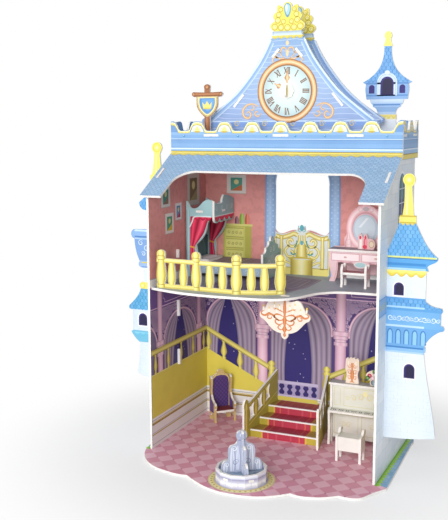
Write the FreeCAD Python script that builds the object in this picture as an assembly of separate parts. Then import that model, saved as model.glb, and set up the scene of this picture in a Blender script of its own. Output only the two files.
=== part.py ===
import FreeCAD, Part
import math
import os

os.makedirs("parts", exist_ok=True)

# Driving dimensions in millimetres. X runs across the castle, Y from front to back, Z up.
board = 2.4
clearance = 0.12
proud = 0.5
body_width = 240.0
body_depth = 138.0
first_floor_top = 174.0
fold_height = 309.0
fold_depth = 63.5
skirt_overhang = 6.6
skirt_drop = 40.1
roof_width = 248.0
crest_pitch = 31.0
deck_rise = 19.7
valley_rise = 3.5
crest_height = 9.7
parapet_lap = 5.0
gable_depth = 81.5
gable_spacing = 34.0
gable_shoulder = 95.3
crown_height = 35.6
window_centre = -1.3
window_width = 62.6
window_sill = 219.0
window_drop = 22.7
right_tower_depth = 28.0
left_tower_depth = 60.0
stair_centre = 0.5
stair_front_depth = 64.0
stair_front_half = 40.5
stair_back_half = 28.5
stair_rise = 8.4
stair_going = 19.0
bed_gap = 2.4
bed_width = 52.2
bed_length = 88.0
table_centre = 72.0
table_gap = 4.6
table_body_depth = 18.6
table_width = 68.0
table_height = 34.6
piano_left = 46.0
piano_width = 66.0
piano_gap = 29.1
stool_seat_height = 28.0
fountain_x = -0.5
fountain_depth = -37.0
fountain_radius = 25.0
fountain_wall = 12.8

# Shared positions worked out from the dimensions above.
front = -body_depth / 2
half = body_width / 2
inner = half - board
floor_top = board
ceiling = first_floor_top - board
deck_top = fold_height + deck_rise
deck_under = deck_top - board
valley_height = deck_top + valley_rise
parapet_foot = fold_height - parapet_lap
window_head = deck_top - window_drop
back_inner = front + body_depth - board
back_outer = front + body_depth
parapet_inner = front + fold_depth + board
skirt_slope = math.atan2(skirt_drop, fold_depth + skirt_overhang)
slope_cos = math.cos(skirt_slope)
slope_sin = math.sin(skirt_slope)


def place(plane, u, v, near):
    """Turn a point of a flat outline into a point in space."""
    if plane == "front":
        return FreeCAD.Vector(u, near, v)
    if plane == "side":
        return FreeCAD.Vector(near, u, v)
    return FreeCAD.Vector(u, v, near)


def cut_out(plane, near, thick, items):
    """Extrude a closed outline: a pair is a corner, and a list is a smooth run through its points."""
    start = items[0]
    here = start
    edges = []
    for item in items[1:] + [start]:
        if isinstance(item, list):
            run = [here] + item
            curve = Part.BSplineCurve()
            curve.interpolate([place(plane, u, v, near) for u, v in run])
            edges.append(curve.toShape())
            here = item[-1]
        elif math.dist(here, item) > 1e-6:
            edges.append(Part.makeLine(place(plane, *here, near), place(plane, *item, near)))
            here = item
    face = Part.Face(Part.Wire(edges))
    solid = face.extrude(place(plane, 0, 0, thick))
    if solid.Volume < 0:
        solid.reverse()
    return solid


def block(x_span, y_span, z_span, grow=0.0):
    """A box between two limits on each axis, made larger all round by grow."""
    low = FreeCAD.Vector(x_span[0] - grow, y_span[0] - grow, z_span[0] - grow)
    sizes = [span[1] - span[0] + 2 * grow for span in (x_span, y_span, z_span)]
    return Part.makeBox(*sizes, low)


def turned(shape, angle, x, y):
    """Turn a shape about the upright axis through its own origin, then move it to x, y."""
    copy = shape.copy()
    upright = FreeCAD.Vector(0, 0, 1)
    copy.Placement = FreeCAD.Placement(FreeCAD.Vector(x, y, 0), FreeCAD.Rotation(upright, angle))
    return copy


def joined(shape, extras):
    """Fuse extras onto a shape and clean its seams."""
    for extra in extras:
        shape = shape.fuse(extra)
    return shape.removeSplitter()


def slotted(shape, cutters):
    """Cut every slot out of a shape."""
    for cutter in cutters:
        shape = shape.cut(cutter)
    return shape


def moved_items(items, du, dv, flip=1):
    """Shift an outline, and mirror it left to right when flip is -1."""
    out = []
    for item in items:
        if isinstance(item, list):
            out.append([(du + flip * u, dv + v) for u, v in item])
        else:
            out.append((du + flip * item[0], dv + item[1]))
    return out


def symmetric(half_items, centre=0.0):
    """Complete an outline from its right half, given from the foot up to the point on the centre line."""
    points = []
    for item in half_items:
        if isinstance(item, list):
            points.append(("run", item))
        else:
            points.append(("corner", item))
    left = []
    ends = [item[-1] if kind == "run" else item for kind, item in points]
    for index in range(len(points) - 1, 0, -1):
        kind, item = points[index]
        target = ends[index - 1]
        if kind == "run":
            back = list(reversed(item[:-1])) + [target]
            left.append([(2 * centre - u, v) for u, v in back])
        else:
            left.append((2 * centre - target[0], target[1]))
    return half_items + left


def disc(cx, cy, radius, start, end, steps):
    """Points on an arc, by angle in degrees."""
    points = []
    for step in range(steps + 1):
        angle = math.radians(start + (end - start) * step / steps)
        points.append((cx + radius * math.cos(angle), cy + radius * math.sin(angle)))
    return points


# The base plate, with its lobed front edge
base_front_edge = [
    (-125.0, 2.0),
    [(-113.0, -24.0), (-97.0, -39.0), (-77.7, -46.7)],
    [(-65.0, -49.5), (-52.7, -49.0)],
    [(-44.0, -55.5), (-22.8, -67.6), (-5.0, -72.2), (10.0, -72.0), (24.5, -69.5), (38.5, -62.2),
     (53.2, -49.5)],
    [(66.8, -51.5), (81.2, -47.0), (95.6, -36.8)],
    [(105.6, -37.8), (114.5, -34.6), (119.0, -27.0), (124.6, -16.0), (131.8, -4.7)],
]


def base_outline():
    """The base outline, given as depth behind the walls' front edge, moved into place."""
    items = list(base_front_edge)
    back = body_depth + 8.0
    items += [(131.6, 12.0), (127.8, back - 22.4), [(124.6, back - 5.0), (114.0, back)]]
    items += [(-110.0, back), [(-121.0, back - 3.0), (-127.0, back - 15.0)], (-128.0, 30.0)]
    return moved_items(items, 0, front)


# The side walls' own tabs: down into the base, up into the deck
wall_foot_spans = [(front + 22.0, front + 40.0), (back_outer - 42.0, back_outer - 24.0)]
wall_head_spans = [(back_outer - 46.0, back_outer - 32.0)]
back_foot_spans = [(-86.0, -66.0), (66.0, 86.0)]
back_head_spans = [(-66.0, -50.0), (50.0, 66.0)]
corner_spans = [(30.0, 60.0), (110.0, 140.0), (230.0, 260.0)]
floor_side_spans = [(front + 20.0, front + 42.0), (back_outer - 46.0, back_outer - 24.0)]
floor_right_spans = [(back_outer - 46.0, back_outer - 24.0)]
floor_back_spans = [(-92.0, -70.0), (70.0, 92.0)]
deck_front_centres = (-77.0, 0.0, 77.0)
deck_side_spans = [(parapet_inner + 3.1, parapet_inner + 18.1), (back_outer - 22.0, back_outer - 7.0)]
deck_back_spans = [(-98.0, -82.0), (82.0, 98.0)]
left_tower_spans = [(79.0, 96.0), (133.0, 150.5), (197.0, 205.7)]
right_tower_spans = [(62.0, 78.0), (108.0, 124.0), (180.0, 196.0)]
roof_tab_span = (31.0, 48.3)


def side_x(side, inside, outside):
    """A span across one side wall, counted outward from its inner face."""
    low = inner + inside
    high = half + outside
    if side > 0:
        return (low, high)
    return (-high, -low)


def skirt_outer(down):
    """Depth and height of a point on the skirt's outer face, measured down the slope from the fold."""
    return front + fold_depth - down * slope_cos, fold_height - down * slope_sin


def roof_tab(side, grow):
    """A tab standing square to the skirt, from a side wall up through it."""
    low = (inner if side > 0 else -half) - grow
    start, end = roof_tab_span[0] - grow, roof_tab_span[1] + grow
    corners = []
    above, below = proud + grow, -board - 3.0
    for down, out in ((start, above), (end, above), (end, below), (start, below)):
        depth, height = skirt_outer(down)
        corners.append((depth - out * slope_sin, height + out * slope_cos))
    return cut_out("side", low, board + 2 * grow, corners)


def side_wall(side):
    """One side wall: straight front edge, sloping under the skirt, level under the deck."""
    low = inner if side > 0 else -half
    under = board / slope_cos + clearance
    at_front = skirt_outer(fold_depth / slope_cos)[1] - under
    at_fold = fold_height - under + board * math.tan(skirt_slope)
    behind_fold = parapet_inner + clearance
    wall = cut_out("side", low, board, [
        (front, floor_top), (front, at_front), (behind_fold, at_fold),
        (behind_fold, deck_under), (back_outer, deck_under), (back_outer, floor_top)])
    x_span = side_x(side, 0, 0)
    tabs = [block(x_span, span, (0, floor_top)) for span in wall_foot_spans]
    tabs += [block(x_span, span, (deck_under, deck_top)) for span in wall_head_spans]
    tabs.append(roof_tab(side, 0))
    through = side_x(side, -1, 1)
    slots = [block(through, (back_inner, back_outer + 1), span, clearance) for span in corner_spans]
    spans = floor_right_spans if side > 0 else floor_side_spans
    slots += [block(through, span, (ceiling, first_floor_top), clearance) for span in spans]
    depth = right_tower_depth if side > 0 else left_tower_depth
    tower = right_tower_spans if side > 0 else left_tower_spans
    slots += [block(through, (front + depth, front + depth + board), span, clearance) for span in tower]
    return slotted(joined(wall, tabs), slots)


def window_outline():
    """The open window above the printed gate: a curved sill, and an arched head."""
    w = window_width / 2
    half_items = [
        (0.0, window_sill + 9.0), [(2.6, window_sill + 7.5), (4.0, window_sill + 3.6)],
        [(11.0, window_sill + 4.2), (20.0, window_sill + 1.0), (26.0, window_sill),
         (30.0, window_sill + 2.5), (w, window_sill + 9.0)],
        (w, window_head - 30.0),
        [(w - 4.6, window_head - 15.0), (w - 15.0, window_head - 4.0), (0.0, window_head)]]
    return moved_items(symmetric(half_items), window_centre, 0)


def back_wall():
    """The back wall between the side walls, with its window."""
    wall = block((-inner, inner), (back_inner, back_outer), (floor_top, deck_under))
    tabs = [block(span, (back_inner, back_outer), (0, floor_top)) for span in back_foot_spans]
    tabs += [block(span, (back_inner, back_outer), (deck_under, deck_top)) for span in back_head_spans]
    for side in (-1, 1):
        tabs += [block(side_x(side, 0, 0), (back_inner, back_outer), span) for span in corner_spans]
    slots = [block(span, (back_inner - 1, back_outer + 1), (ceiling, first_floor_top), clearance)
             for span in floor_back_spans]
    slots.append(cut_out("front", back_inner - 1, board + 2, window_outline()))
    return slotted(joined(wall, tabs), slots)


floor_front_edge = [
    (-inner, 3.6),
    [(-100.0, -2.5), (-78.0, -8.6), (-51.5, -11.4), (-28.0, -11.4), (-7.7, -9.9), (22.0, -3.3),
                    (36.8, 14.3), (48.7, 42.7), (66.0, 56.3), (84.0, 59.0), (102.3, 59.6),
                    (inner, 59.8)]]


def first_floor():
    """The upper floor, with its balcony bulging out at the left."""
    items = moved_items(floor_front_edge, 0, front)
    plate = cut_out("flat", ceiling, board, items + [(inner, back_inner), (-inner, back_inner)])
    z_span = (ceiling, first_floor_top)
    tabs = [block(side_x(-1, 0, 0), span, z_span) for span in floor_side_spans]
    tabs += [block(side_x(1, 0, 0), span, z_span) for span in floor_right_spans]
    tabs += [block(span, (back_inner, back_outer), z_span) for span in floor_back_spans]
    slots = balustrade_tabs(clearance)
    slots.append(chandelier_tab(clearance))
    return slotted(joined(plate, tabs), slots)


def crest(centre):
    """One whole crest of the battlement as two smooth shoulders, from left valley to right valley."""
    h = crest_height
    rise = [(-9.0, 0.13 * h), (-7.2, 0.55 * h), (-4.6, 0.92 * h), (0.0, h)]
    fall = [(4.6, 0.92 * h), (7.2, 0.55 * h), (9.0, 0.13 * h), (11.5, 0.0)]
    return [(centre - 11.5, valley_height), [(centre + u, valley_height + v) for u, v in rise + fall]]


def half_crest(centre, toward):
    """Half a crest at the end of a board, on the side given by toward."""
    h = crest_height
    run = [(4.6, 0.92 * h), (7.2, 0.55 * h), (9.0, 0.13 * h), (11.5, 0.0)]
    if toward > 0:
        return [(centre, valley_height + h), [(centre + u, valley_height + v) for u, v in run]]
    back = [(-u, v) for u, v in reversed(run)] + [(0.0, h)]
    return [(centre + back[0][0], valley_height), [(centre + u, valley_height + v) for u, v in back[1:]]]


def battlement(start, end, first, count):
    """The crested top edge from start to end, with a half crest at each end that sits on a crest centre."""
    items = []
    if abs(first - start) < 1.0:
        items += half_crest(start, 1)
        first += crest_pitch
        count -= 1
    else:
        items.append((start, valley_height))
    for index in range(count):
        centre = first + index * crest_pitch
        if centre + 11.5 > end:
            items += half_crest(end, -1)
        elif centre - 11.5 < start:
            items[-1] = (start, valley_height + crest_height * 0.9)
            items.append([(centre, valley_height + crest_height)] + crest(centre)[1][4:])
        else:
            items += crest(centre)
    return items


def front_roof():
    """The tiled skirt and the front parapet: one board creased along the fold."""
    reach = roof_width / 2
    edge_y, edge_z = skirt_outer((fold_depth + skirt_overhang) / slope_cos)
    top = valley_height + crest_height + 1
    section = cut_out("side", -reach, roof_width, [
        (edge_y, edge_z), (front + fold_depth, fold_height), (front + fold_depth, top),
        (parapet_inner, top),
        (parapet_inner, fold_height - board / slope_cos + board * math.tan(skirt_slope)),
        (edge_y + board * slope_sin, edge_z - board * slope_cos)])
    line = battlement(-reach, reach, -reach, 9)
    above = cut_out("front", front + fold_depth - 1, board + 2,
                    [(-reach - 1, line[0][1])] + line + [(reach + 1, line[-1][-1][1]), (reach + 1, top + 5),
                                                         (-reach - 1, top + 5)])
    # The big arch cut into the skirt, drawn flat down the slope from the fold and then tilted onto it
    arch_half = [(0.0, -34.6), (76.0, -34.2), [(88.0, -36.0), (96.5, -43.5), (100.0, -52.0)],
                 [(100.4, -62.0), (100.4, -95.0)]]
    arch_items = [(-100.4, -95.0)] + symmetric(arch_half)[4:] + arch_half[1:]
    arch = cut_out("flat", -board - 1, board + 2, arch_items)
    arch.Placement = FreeCAD.Placement(
        FreeCAD.Vector(0, front + fold_depth, fold_height),
        FreeCAD.Rotation(FreeCAD.Vector(1, 0, 0), math.degrees(skirt_slope)))
    slots = [above, arch, roof_tab(-1, clearance), roof_tab(1, clearance)]
    slots += [deck_front_tab(centre, clearance) for centre in deck_front_centres]
    return slotted(section, slots)


def deck_front_tab(centre, grow):
    """A deck tab through the front parapet."""
    return block((centre - 8.3, centre + 8.3), (front + fold_depth - proud, parapet_inner),
                 (deck_under, deck_top), grow)


def deck_side_tab(side, span, grow):
    """A deck tab through a side parapet."""
    return block(side_x(side, board, board + proud), span, (deck_under, deck_top), grow)


def deck_back_tab(span, grow):
    """A deck tab through the back parapet."""
    return block(span, (back_outer, back_outer + board + proud), (deck_under, deck_top), grow)


def side_parapet(side):
    """A crested board on the outside of one side wall."""
    low = half if side > 0 else -half - board
    start = parapet_inner + clearance
    line = battlement(start, back_outer, back_outer - 2 * crest_pitch, 3)
    body = cut_out("side", low, board, [(start, parapet_foot)] + line + [(back_outer, parapet_foot)])
    return slotted(body, [deck_side_tab(side, span, clearance) for span in deck_side_spans])


def back_parapet():
    """The crested board across the back."""
    reach = half + board
    line = battlement(-reach, reach, -3.5 * crest_pitch, 8)
    body = cut_out("front", back_outer, board, [(-reach, parapet_foot)] + line + [(reach, valley_height),
                                                                                 (reach, parapet_foot)])
    return slotted(body, [deck_back_tab(span, clearance) for span in deck_back_spans])


gable_front_y = front + gable_depth
gable_rear_y = gable_front_y + gable_spacing
gable_foot_spans = [(-66.0, -48.0), (48.0, 66.0)]
pennant_x = -85.3
pennant_y = gable_front_y - 9.5
spire_x = 91.7
spire_y = back_outer - 11.0


def gable_tab(y, span, grow):
    """A gable's tab down into the deck."""
    return block(span, (y, y + board), (deck_under, deck_top), grow)


def post_tab(x, y, reach, grow):
    """The foot tab of a board that stands on the deck."""
    return block((x - reach, x + reach), (y, y + board), (deck_under, deck_top), grow)


def roof_deck():
    """The deck behind the parapets, which carries the gables, the pennant and the spire."""
    plate = block((-half, half), (parapet_inner, back_outer), (deck_under, deck_top))
    tabs = [deck_front_tab(centre, 0) for centre in deck_front_centres]
    tabs += [deck_side_tab(side, span, 0) for side in (-1, 1) for span in deck_side_spans]
    tabs += [deck_back_tab(span, 0) for span in deck_back_spans]
    through = (deck_under - 1, deck_top + 1)
    slots = [block(side_x(side, 0, 1), span, through, clearance)
             for side in (-1, 1) for span in wall_head_spans]
    slots += [block(span, (back_inner, back_outer + 0.5), through, clearance) for span in back_head_spans]
    slots += [gable_tab(y, span, clearance)
              for y in (gable_front_y, gable_rear_y) for span in gable_foot_spans]
    slots += [post_tab(pennant_x, pennant_y, 3.2, clearance), post_tab(spire_x, spire_y, 8.0, clearance)]
    return slotted(joined(plate, tabs), slots)


roof_panel_point = (12.5, deck_top + 81.3)
roof_panel_slope = math.radians(49.1)
roof_panel_tabs = [(-5.5, 5.5), (54.0, 70.8)]


def roof_panel_piece(side, along, depth_span, grow):
    """A flat strip lying on one slope of the gable roof, between two limits down the slope."""
    corners = []
    for t, n in ((along[0] - grow, -board / 2 - grow), (along[1] + grow, -board / 2 - grow),
                 (along[1] + grow, board / 2 + grow), (along[0] - grow, board / 2 + grow)):
        x = roof_panel_point[0] + t * math.cos(roof_panel_slope) + n * math.sin(roof_panel_slope)
        z = roof_panel_point[1] - t * math.sin(roof_panel_slope) + n * math.cos(roof_panel_slope)
        corners.append((side * x, z))
    return cut_out("front", depth_span[0], depth_span[1] - depth_span[0], corners)


def gable_roof(side):
    """One sloping panel between the two gables."""
    start = (board - roof_panel_point[0]) / math.cos(roof_panel_slope) + board
    end = (roof_panel_point[1] - deck_top - board) / math.sin(roof_panel_slope)
    inside = (gable_front_y + board + clearance, gable_rear_y - clearance)
    panel = roof_panel_piece(side, (start, end), inside, 0)
    through = (gable_front_y - proud, gable_rear_y + board + proud)
    return joined(panel, [roof_panel_piece(side, span, through, 0) for span in roof_panel_tabs])


def gable(y, tip):
    """A gable board with a crown and a jewel on top, flared eaves and slots for the roof panels."""
    k = crown_height / 35.6
    s = gable_shoulder
    right = [
        (0.0, 0.0), (86.5, 0.0), (86.5, 9.0), (tip - 2.0, 11.5), [(tip + 0.8, 13.6), (tip, 15.8)],
        [(74.5, 27.2), (54.0, 44.5), (35.9, 66.2), (26.3, 80.3), (18.5, s)],
        (15.6, s + 0.8 * k), (16.0, s + 6.6 * k), (14.4, s + 7.6 * k),
        [(18.4, s + 12.6 * k), (13.4, s + 17.4 * k)], (13.4, s + 18.2 * k),
        [(15.2, s + 22.6 * k), (11.2, s + 26.4 * k)], (11.2, s + 27.2 * k),
        [(10.0, s + 32.8 * k), (5.0, s + 30.2 * k)], (4.6, s + 31.0 * k),
        [(3.4, s + 34.4 * k), (0.0, s + crown_height)]]
    body = cut_out("front", y, board, moved_items(symmetric(right), 0, deck_top))
    body = joined(body, [gable_tab(y, span, 0) for span in gable_foot_spans])
    slots = []
    for side in (-1, 1):
        slots += [roof_panel_piece(side, span, (y - 1, y + board + 1), clearance)
                  for span in roof_panel_tabs]
    return slotted(body, slots)


clock_z = deck_top + 43.2
peg_half = 1.2


def clock_boss():
    """The small eight-lobed disc at the middle of the dial, slotted for its peg."""
    points = []
    for step in range(16):
        angle = math.radians(22.5 * step)
        radius = 8.2 if step % 2 == 0 else 7.4
        points.append((radius * math.cos(angle), clock_z + radius * math.sin(angle)))
    body = cut_out("front", gable_front_y - board, board, points)
    return slotted(body, [clock_peg_tab(clearance)])


def clock_peg_tab(grow):
    """The part of the peg that passes through the boss and the gable."""
    return block((-peg_half, peg_half), (gable_front_y - board, gable_front_y + board + 1.5),
                 (clock_z - 4.0, clock_z + 4.0), grow)


def clock_peg():
    """The leaf-shaped peg that pins the boss to the gable."""
    y = gable_front_y - board
    leaf = cut_out("side", -peg_half, 2 * peg_half, [
        (y, clock_z - 4.0), (y, clock_z - 6.5),
        [(y - 3.0, clock_z - 5.0), (y - 4.4, clock_z), (y - 3.0, clock_z + 5.0),
                                                 (y, clock_z + 6.5)], (y, clock_z + 4.0)])
    return joined(leaf, [clock_peg_tab(0)])


def pennant():
    """A pole with a shield hung from its crossbar."""
    right = [
        (0.0, 0.0), (3.2, 0.0), (3.2, 17.8), [(6.5, 20.8), (10.6, 25.8), (12.3, 32.3)],
        (12.3, 39.5), [(14.2, 38.5), (17.0, 39.9), (17.2, 42.5), (14.4, 43.5)], (3.2, 43.1),
        (3.2, 46.9),
        [(3.4, 49.7), (0.0, 51.5)]]
    body = cut_out("front", pennant_y, board, moved_items(symmetric(right), pennant_x, deck_top))
    return joined(body, [post_tab(pennant_x, pennant_y, 3.2, 0)])


def roof_spire():
    """The round turret drawn on a flat board, standing at the back right of the deck."""
    right = [
        (0.0, 0.0), (8.4, 0.0), [(9.9, 5.3), (9.4, 13.7)], (10.4, 14.1), (10.2, 18.7), (9.4, 19.3),
        [(9.8, 22.7), (11.6, 25.7), (14.4, 27.1)], (14.6, 29.1), [(16.6, 31.1), (17.4, 34.5)],
        (21.4, 34.5),
        (21.8, 38.5), [(22.6, 44.3), (22.0, 49.9)], (25.4, 51.9),
        [(15.0, 58.7), (8.4, 66.3), (4.6, 76.3),
                                                                       (3.7, 87.5)],
        (5.0, 87.9), [(3.4, 91.3), (2.6, 95.3)], [(3.7, 98.5), (2.6, 101.3), (0.0, 102.5)]]
    body = cut_out("front", spire_y, board, moved_items(symmetric(right), spire_x, deck_top))
    return joined(body, [post_tab(spire_x, spire_y, 8.0, 0)])


def tower_tabs(side, depth, spans, reach, grow):
    """The tabs of a tower board through its side wall."""
    y = front + depth
    return [block(side_x(side, -reach, 0), (y, y + board), span, grow) for span in spans]


def right_tower():
    """The two-stage tower drawn on a flat board outside the right wall."""
    items = [
        (half, 40.8), [(135.0, 41.2), (152.0, 42.8), (169.3, 45.5)],
        [(164.4, 77.6), (158.9, 107.4), (156.4, 127.3)],
        (157.7, 127.6), (157.7, 132.4), (156.5, 133.2), [(161.2, 140.8), (170.9, 148.5)],
        [(174.4, 150.2), (173.4, 153.6)],
        (171.2, 154.4), (171.2, 165.2), [(172.6, 167.4), (171.8, 170.2)], (169.0, 170.8),
        [(162.0, 172.4), (156.6, 176.0)],
        (156.6, 203.0), (158.6, 204.2), (157.2, 207.6),
        [(162.0, 211.4), (166.4, 214.4), (166.6, 217.2)],
        [(159.7, 223.6), (152.4, 234.8), (146.2, 247.4)], (145.9, 254.2), (143.7, 255.2),
        [(142.6, 267.0), (141.3, 281.6)], disc(138.5, 288.0, 5.7, -50, 230, 12)[1:],
        [(135.0, 275.0), (133.1, 255.2)],
        (130.3, 254.2), (130.2, 247.4), [(126.0, 236.0), (half, 222.0)]]
    body = cut_out("front", front + right_tower_depth, board, items)
    return joined(body, tower_tabs(1, right_tower_depth, right_tower_spans, 3.0, 0))


def left_tower():
    """The taller tower with its low turret, drawn on a flat board outside the left wall."""
    items = [
        (-half, 58.2), (-half, 246.0), [(-122.5, 256.0), (-128.0, 266.0), (-132.0, 279.0)],
        (-131.6, 285.0),
        (-133.8, 286.0), [(-135.2, 297.0), (-136.2, 308.0)], disc(-139.4, 314.4, 5.9, -56, 236, 12)[1:],
        [(-143.6, 297.0), (-145.6, 286.0)], (-148.0, 285.0), (-147.6, 279.0),
        [(-151.0, 268.0), (-162.4, 255.4)],
        [(-161.0, 250.8), (-154.8, 246.6)], (-154.8, 226.0), (-170.0, 225.6),
        [(-173.0, 221.0), (-171.4, 216.4)],
        (-169.0, 215.6), [(-168.0, 206.0), (-165.4, 196.4), (-162.8, 190.6)],
        [(-164.2, 186.6), (-160.6, 183.4)],
        (-157.8, 183.0), (-158.0, 167.6), disc(-159.6, 163.6, 3.9, 62, 232, 8)[1:],
        [(-165.4, 153.0), (-173.4, 143.6), (-177.2, 140.0)], [(-177.0, 137.0), (-172.6, 135.6)],
        (-172.8, 112.0),
        (-175.2, 110.8), [(-170.7, 104.6), (-164.2, 98.8)], [(-165.2, 82.0), (-168.4, 64.0)],
        [(-157.0, 60.0), (-142.0, 58.2), (-half, 58.2)]]
    body = cut_out("front", front + left_tower_depth, board, items)
    return joined(body, tower_tabs(-1, left_tower_depth, left_tower_spans, 3.0, 0))


# The balcony's folded strip: its corners in plan, as x and depth
balcony_corners = [(-112.0, 5.6), (-67.0, 3.8), (-21.5, 0.2), (5.0, 9.6), (21.6, 19.8)]
balcony_rail_low = first_floor_top + 26.2
balcony_rail_top = first_floor_top + 30.6
balcony_post_top = first_floor_top + 39.4
balcony_kerb = first_floor_top + 4.4


def post_half(centre, top):
    """A turned newel drawn on the flat, wider than a baluster and taller than the rail."""
    z = first_floor_top
    right = [
        (0.0, z), (4.6, z), (4.4, z + 3.4), (3.9, z + 4.6),
        [(5.5, z + 12.0), (4.9, z + 20.0), (3.9, z + 28.0)],
        (4.7, z + 29.6), (4.7, z + 33.0), [(4.2, top - 2.0), (0.0, top)]]
    return moved_items(symmetric(right), centre, 0)


def baluster_half(centre):
    """A slim turned baluster between the kerb and the rail."""
    z = first_floor_top
    right = [
        (0.0, z + 3.0), (2.8, z + 3.0), [(4.4, z + 12.0), (3.9, z + 19.0), (2.7, z + 27.5)],
        (0.0, z + 27.5)]
    return moved_items(symmetric(right), centre, 0)


def balcony_panel(start, end, uprights):
    """One straight stretch of the strip: kerb, rail and the uprights given by kind and place."""
    length = math.dist(start, end)
    lap = 0.25
    kerb = cut_out("front", 0, board, [(-lap, first_floor_top), (length + lap, first_floor_top),
                                       (length + lap, balcony_kerb), (-lap, balcony_kerb)])
    rail = cut_out("front", 0, board, [(-lap, balcony_rail_low), (length + lap, balcony_rail_low),
                                       (length + lap, balcony_rail_top), (-lap, balcony_rail_top)])
    pieces = [rail]
    for kind, along in uprights:
        items = post_half(along, balcony_post_top) if kind == "post" else baluster_half(along)
        pieces.append(cut_out("front", 0, board, items))
    panel = joined(kerb, pieces)
    angle = math.degrees(math.atan2(end[1] - start[1], end[0] - start[0]))
    return turned(panel, angle, start[0], front + start[1])


balcony_uprights = [
    [("post", 4.9), ("baluster", 17.0), ("baluster", 30.5)],
    [("post", 0.0), ("baluster", 15.6), ("baluster", 30.0)],
    [("post", 0.0), ("baluster", 14.4), ("baluster", 27.4)],
    [("post", 15.0)]]


def balustrade_tabs(grow):
    """The strip's tabs down through the floor, one to each stretch."""
    tabs = []
    for start, end, where in zip(balcony_corners, balcony_corners[1:], (23.0, 23.0, 20.0, 7.0)):
        tab = block((where - 4.0, where + 4.0), (0, board), (ceiling - 1.0, first_floor_top), grow)
        angle = math.degrees(math.atan2(end[1] - start[1], end[0] - start[0]))
        tabs.append(turned(tab, angle, start[0], front + start[1]))
    return tabs


def balcony_balustrade():
    """The whole folded strip with its tabs."""
    panels = []
    for start, end, uprights in zip(balcony_corners, balcony_corners[1:], balcony_uprights):
        panels.append(balcony_panel(start, end, uprights))
    return joined(panels[0], panels[1:] + balustrade_tabs(0))


chandelier_x = 24.4
chandelier_y = front + 12.0


def chandelier_tab(grow):
    """The neck of the chandelier, pushed up through the floor."""
    return block((chandelier_x - 4.4, chandelier_x + 4.4), (chandelier_y, chandelier_y + board),
                 (ceiling - 0.01, first_floor_top + 0.6), grow)


def chandelier():
    """The chandelier board that hangs from the upper floor."""
    z = ceiling
    right = [
        (0.0, z - 40.4), [(2.7, z - 38.6), (3.6, z - 34.4)],
        [(8.0, z - 33.6), (12.2, z - 31.6), (17.4, z - 26.6),
                                                            (22.4, z - 21.6)],
        [(25.6, z - 19.4), (26.0, z - 16.4), (23.0, z - 13.6)],
        [(19.6, z - 9.0), (16.6, z - 3.4), (11.6, z - 1.4)],
        [(8.4, z - 2.6), (4.4, z - 3.0)], (4.4, z), (0.0, z)]
    body = cut_out("front", chandelier_y, board, moved_items(symmetric(right), chandelier_x, 0))
    return joined(body, [chandelier_tab(0)])


def stair_line(depth):
    """Half the stair's width at a depth, to the inner face of its sides."""
    share = (depth - stair_front_depth) / (body_depth - board - stair_front_depth)
    return stair_front_half + (stair_back_half - stair_front_half) * share


def stair_flight():
    """Three steps folded from one strip, narrowing towards the back wall."""
    first = stair_front_depth + 12.0
    depth_end = body_depth - board - clearance
    upper = [(first, floor_top)]
    z = floor_top
    for step in range(3):
        z += stair_rise
        upper += [(first + step * stair_going, z), (min(first + (step + 1) * stair_going, depth_end), z)]
    upper[-1] = (depth_end, z)
    lower = [(depth_end, z - board)]
    for step in (2, 1, 0):
        corner = first + step * stair_going + board
        low = floor_top if step == 0 else z - stair_rise - board
        lower += [(corner, z - board), (corner, low)]
        z -= stair_rise
    profile = cut_out("side", -60, 120, moved_items(upper + lower, front, 0))
    plan = []
    for depth in (first - 2, depth_end + 2):
        reach = stair_line(depth) - clearance
        plan.append((depth, reach))
    mask = cut_out("flat", 0, 60, [(-plan[0][1], front + plan[0][0]), (plan[0][1], front + plan[0][0]),
                                   (plan[1][1], front + plan[1][0]), (-plan[1][1], front + plan[1][0])])
    flight = profile.common(mask)
    flight.translate(FreeCAD.Vector(stair_centre, 0, 0))
    return flight.removeSplitter()


stair_run = body_depth - board - clearance - stair_front_depth
stair_angle = math.degrees(math.atan2(stair_front_half - stair_back_half, stair_run))
stair_length = math.hypot(stair_front_half - stair_back_half, stair_run)


def stair_side_at(side, shape):
    """Stand a stair side, drawn in depth and height, on its slanting line."""
    copy = shape.copy()
    x = stair_centre + side * stair_front_half
    copy.Placement = FreeCAD.Placement(FreeCAD.Vector(x, front + stair_front_depth, 0),
                                       FreeCAD.Rotation(FreeCAD.Vector(0, 0, 1), side * stair_angle))
    return copy


def stair_side_tab(side, grow):
    """The foot tab of a stair side."""
    low = 0 if side > 0 else -board
    return stair_side_at(side, block((low, low + board), (26.0, 44.0), (0, floor_top), grow))


def stair_side(side):
    """A side of the stair: newel, sloping handrail, three openings, and a solid string."""
    low = 0 if side > 0 else -board
    length = stair_length - 0.9
    rail_front, rail_back = 40.0, 63.5
    body = cut_out("side", low, board, [
        (0.0, floor_top), (0.0, 36.0), [(-0.4, 39.4), (0.6, 42.4), (3.6, 46.0)],
        [(7.0, 44.4), (8.6, rail_front)],
        (length, rail_back), (length, floor_top)])
    openings = []
    rise = (rail_back - rail_front) / (length - 8.6)
    for start, end in ((10.0, 21.0), (27.0, 38.0), (44.0, 54.0)):
        roof_a = rail_front - 5.0 + rise * (start - 8.6)
        roof_b = rail_front - 5.0 + rise * (end - 8.6)
        sill_a, sill_b = roof_a - 17.5, roof_b - 17.5
        waist = (end - start) * 0.22
        openings.append(cut_out("side", low - 1, board + 2, [
            (start, sill_a + 2.0), [(start + waist, (sill_a + roof_a) / 2), (start, roof_a)],
            (end, roof_b), [(end - waist, (sill_b + roof_b) / 2), (end, sill_b + 2.0)]]))
    body = slotted(body, openings)
    return joined(stair_side_at(side, body), [stair_side_tab(side, 0)])


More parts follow.
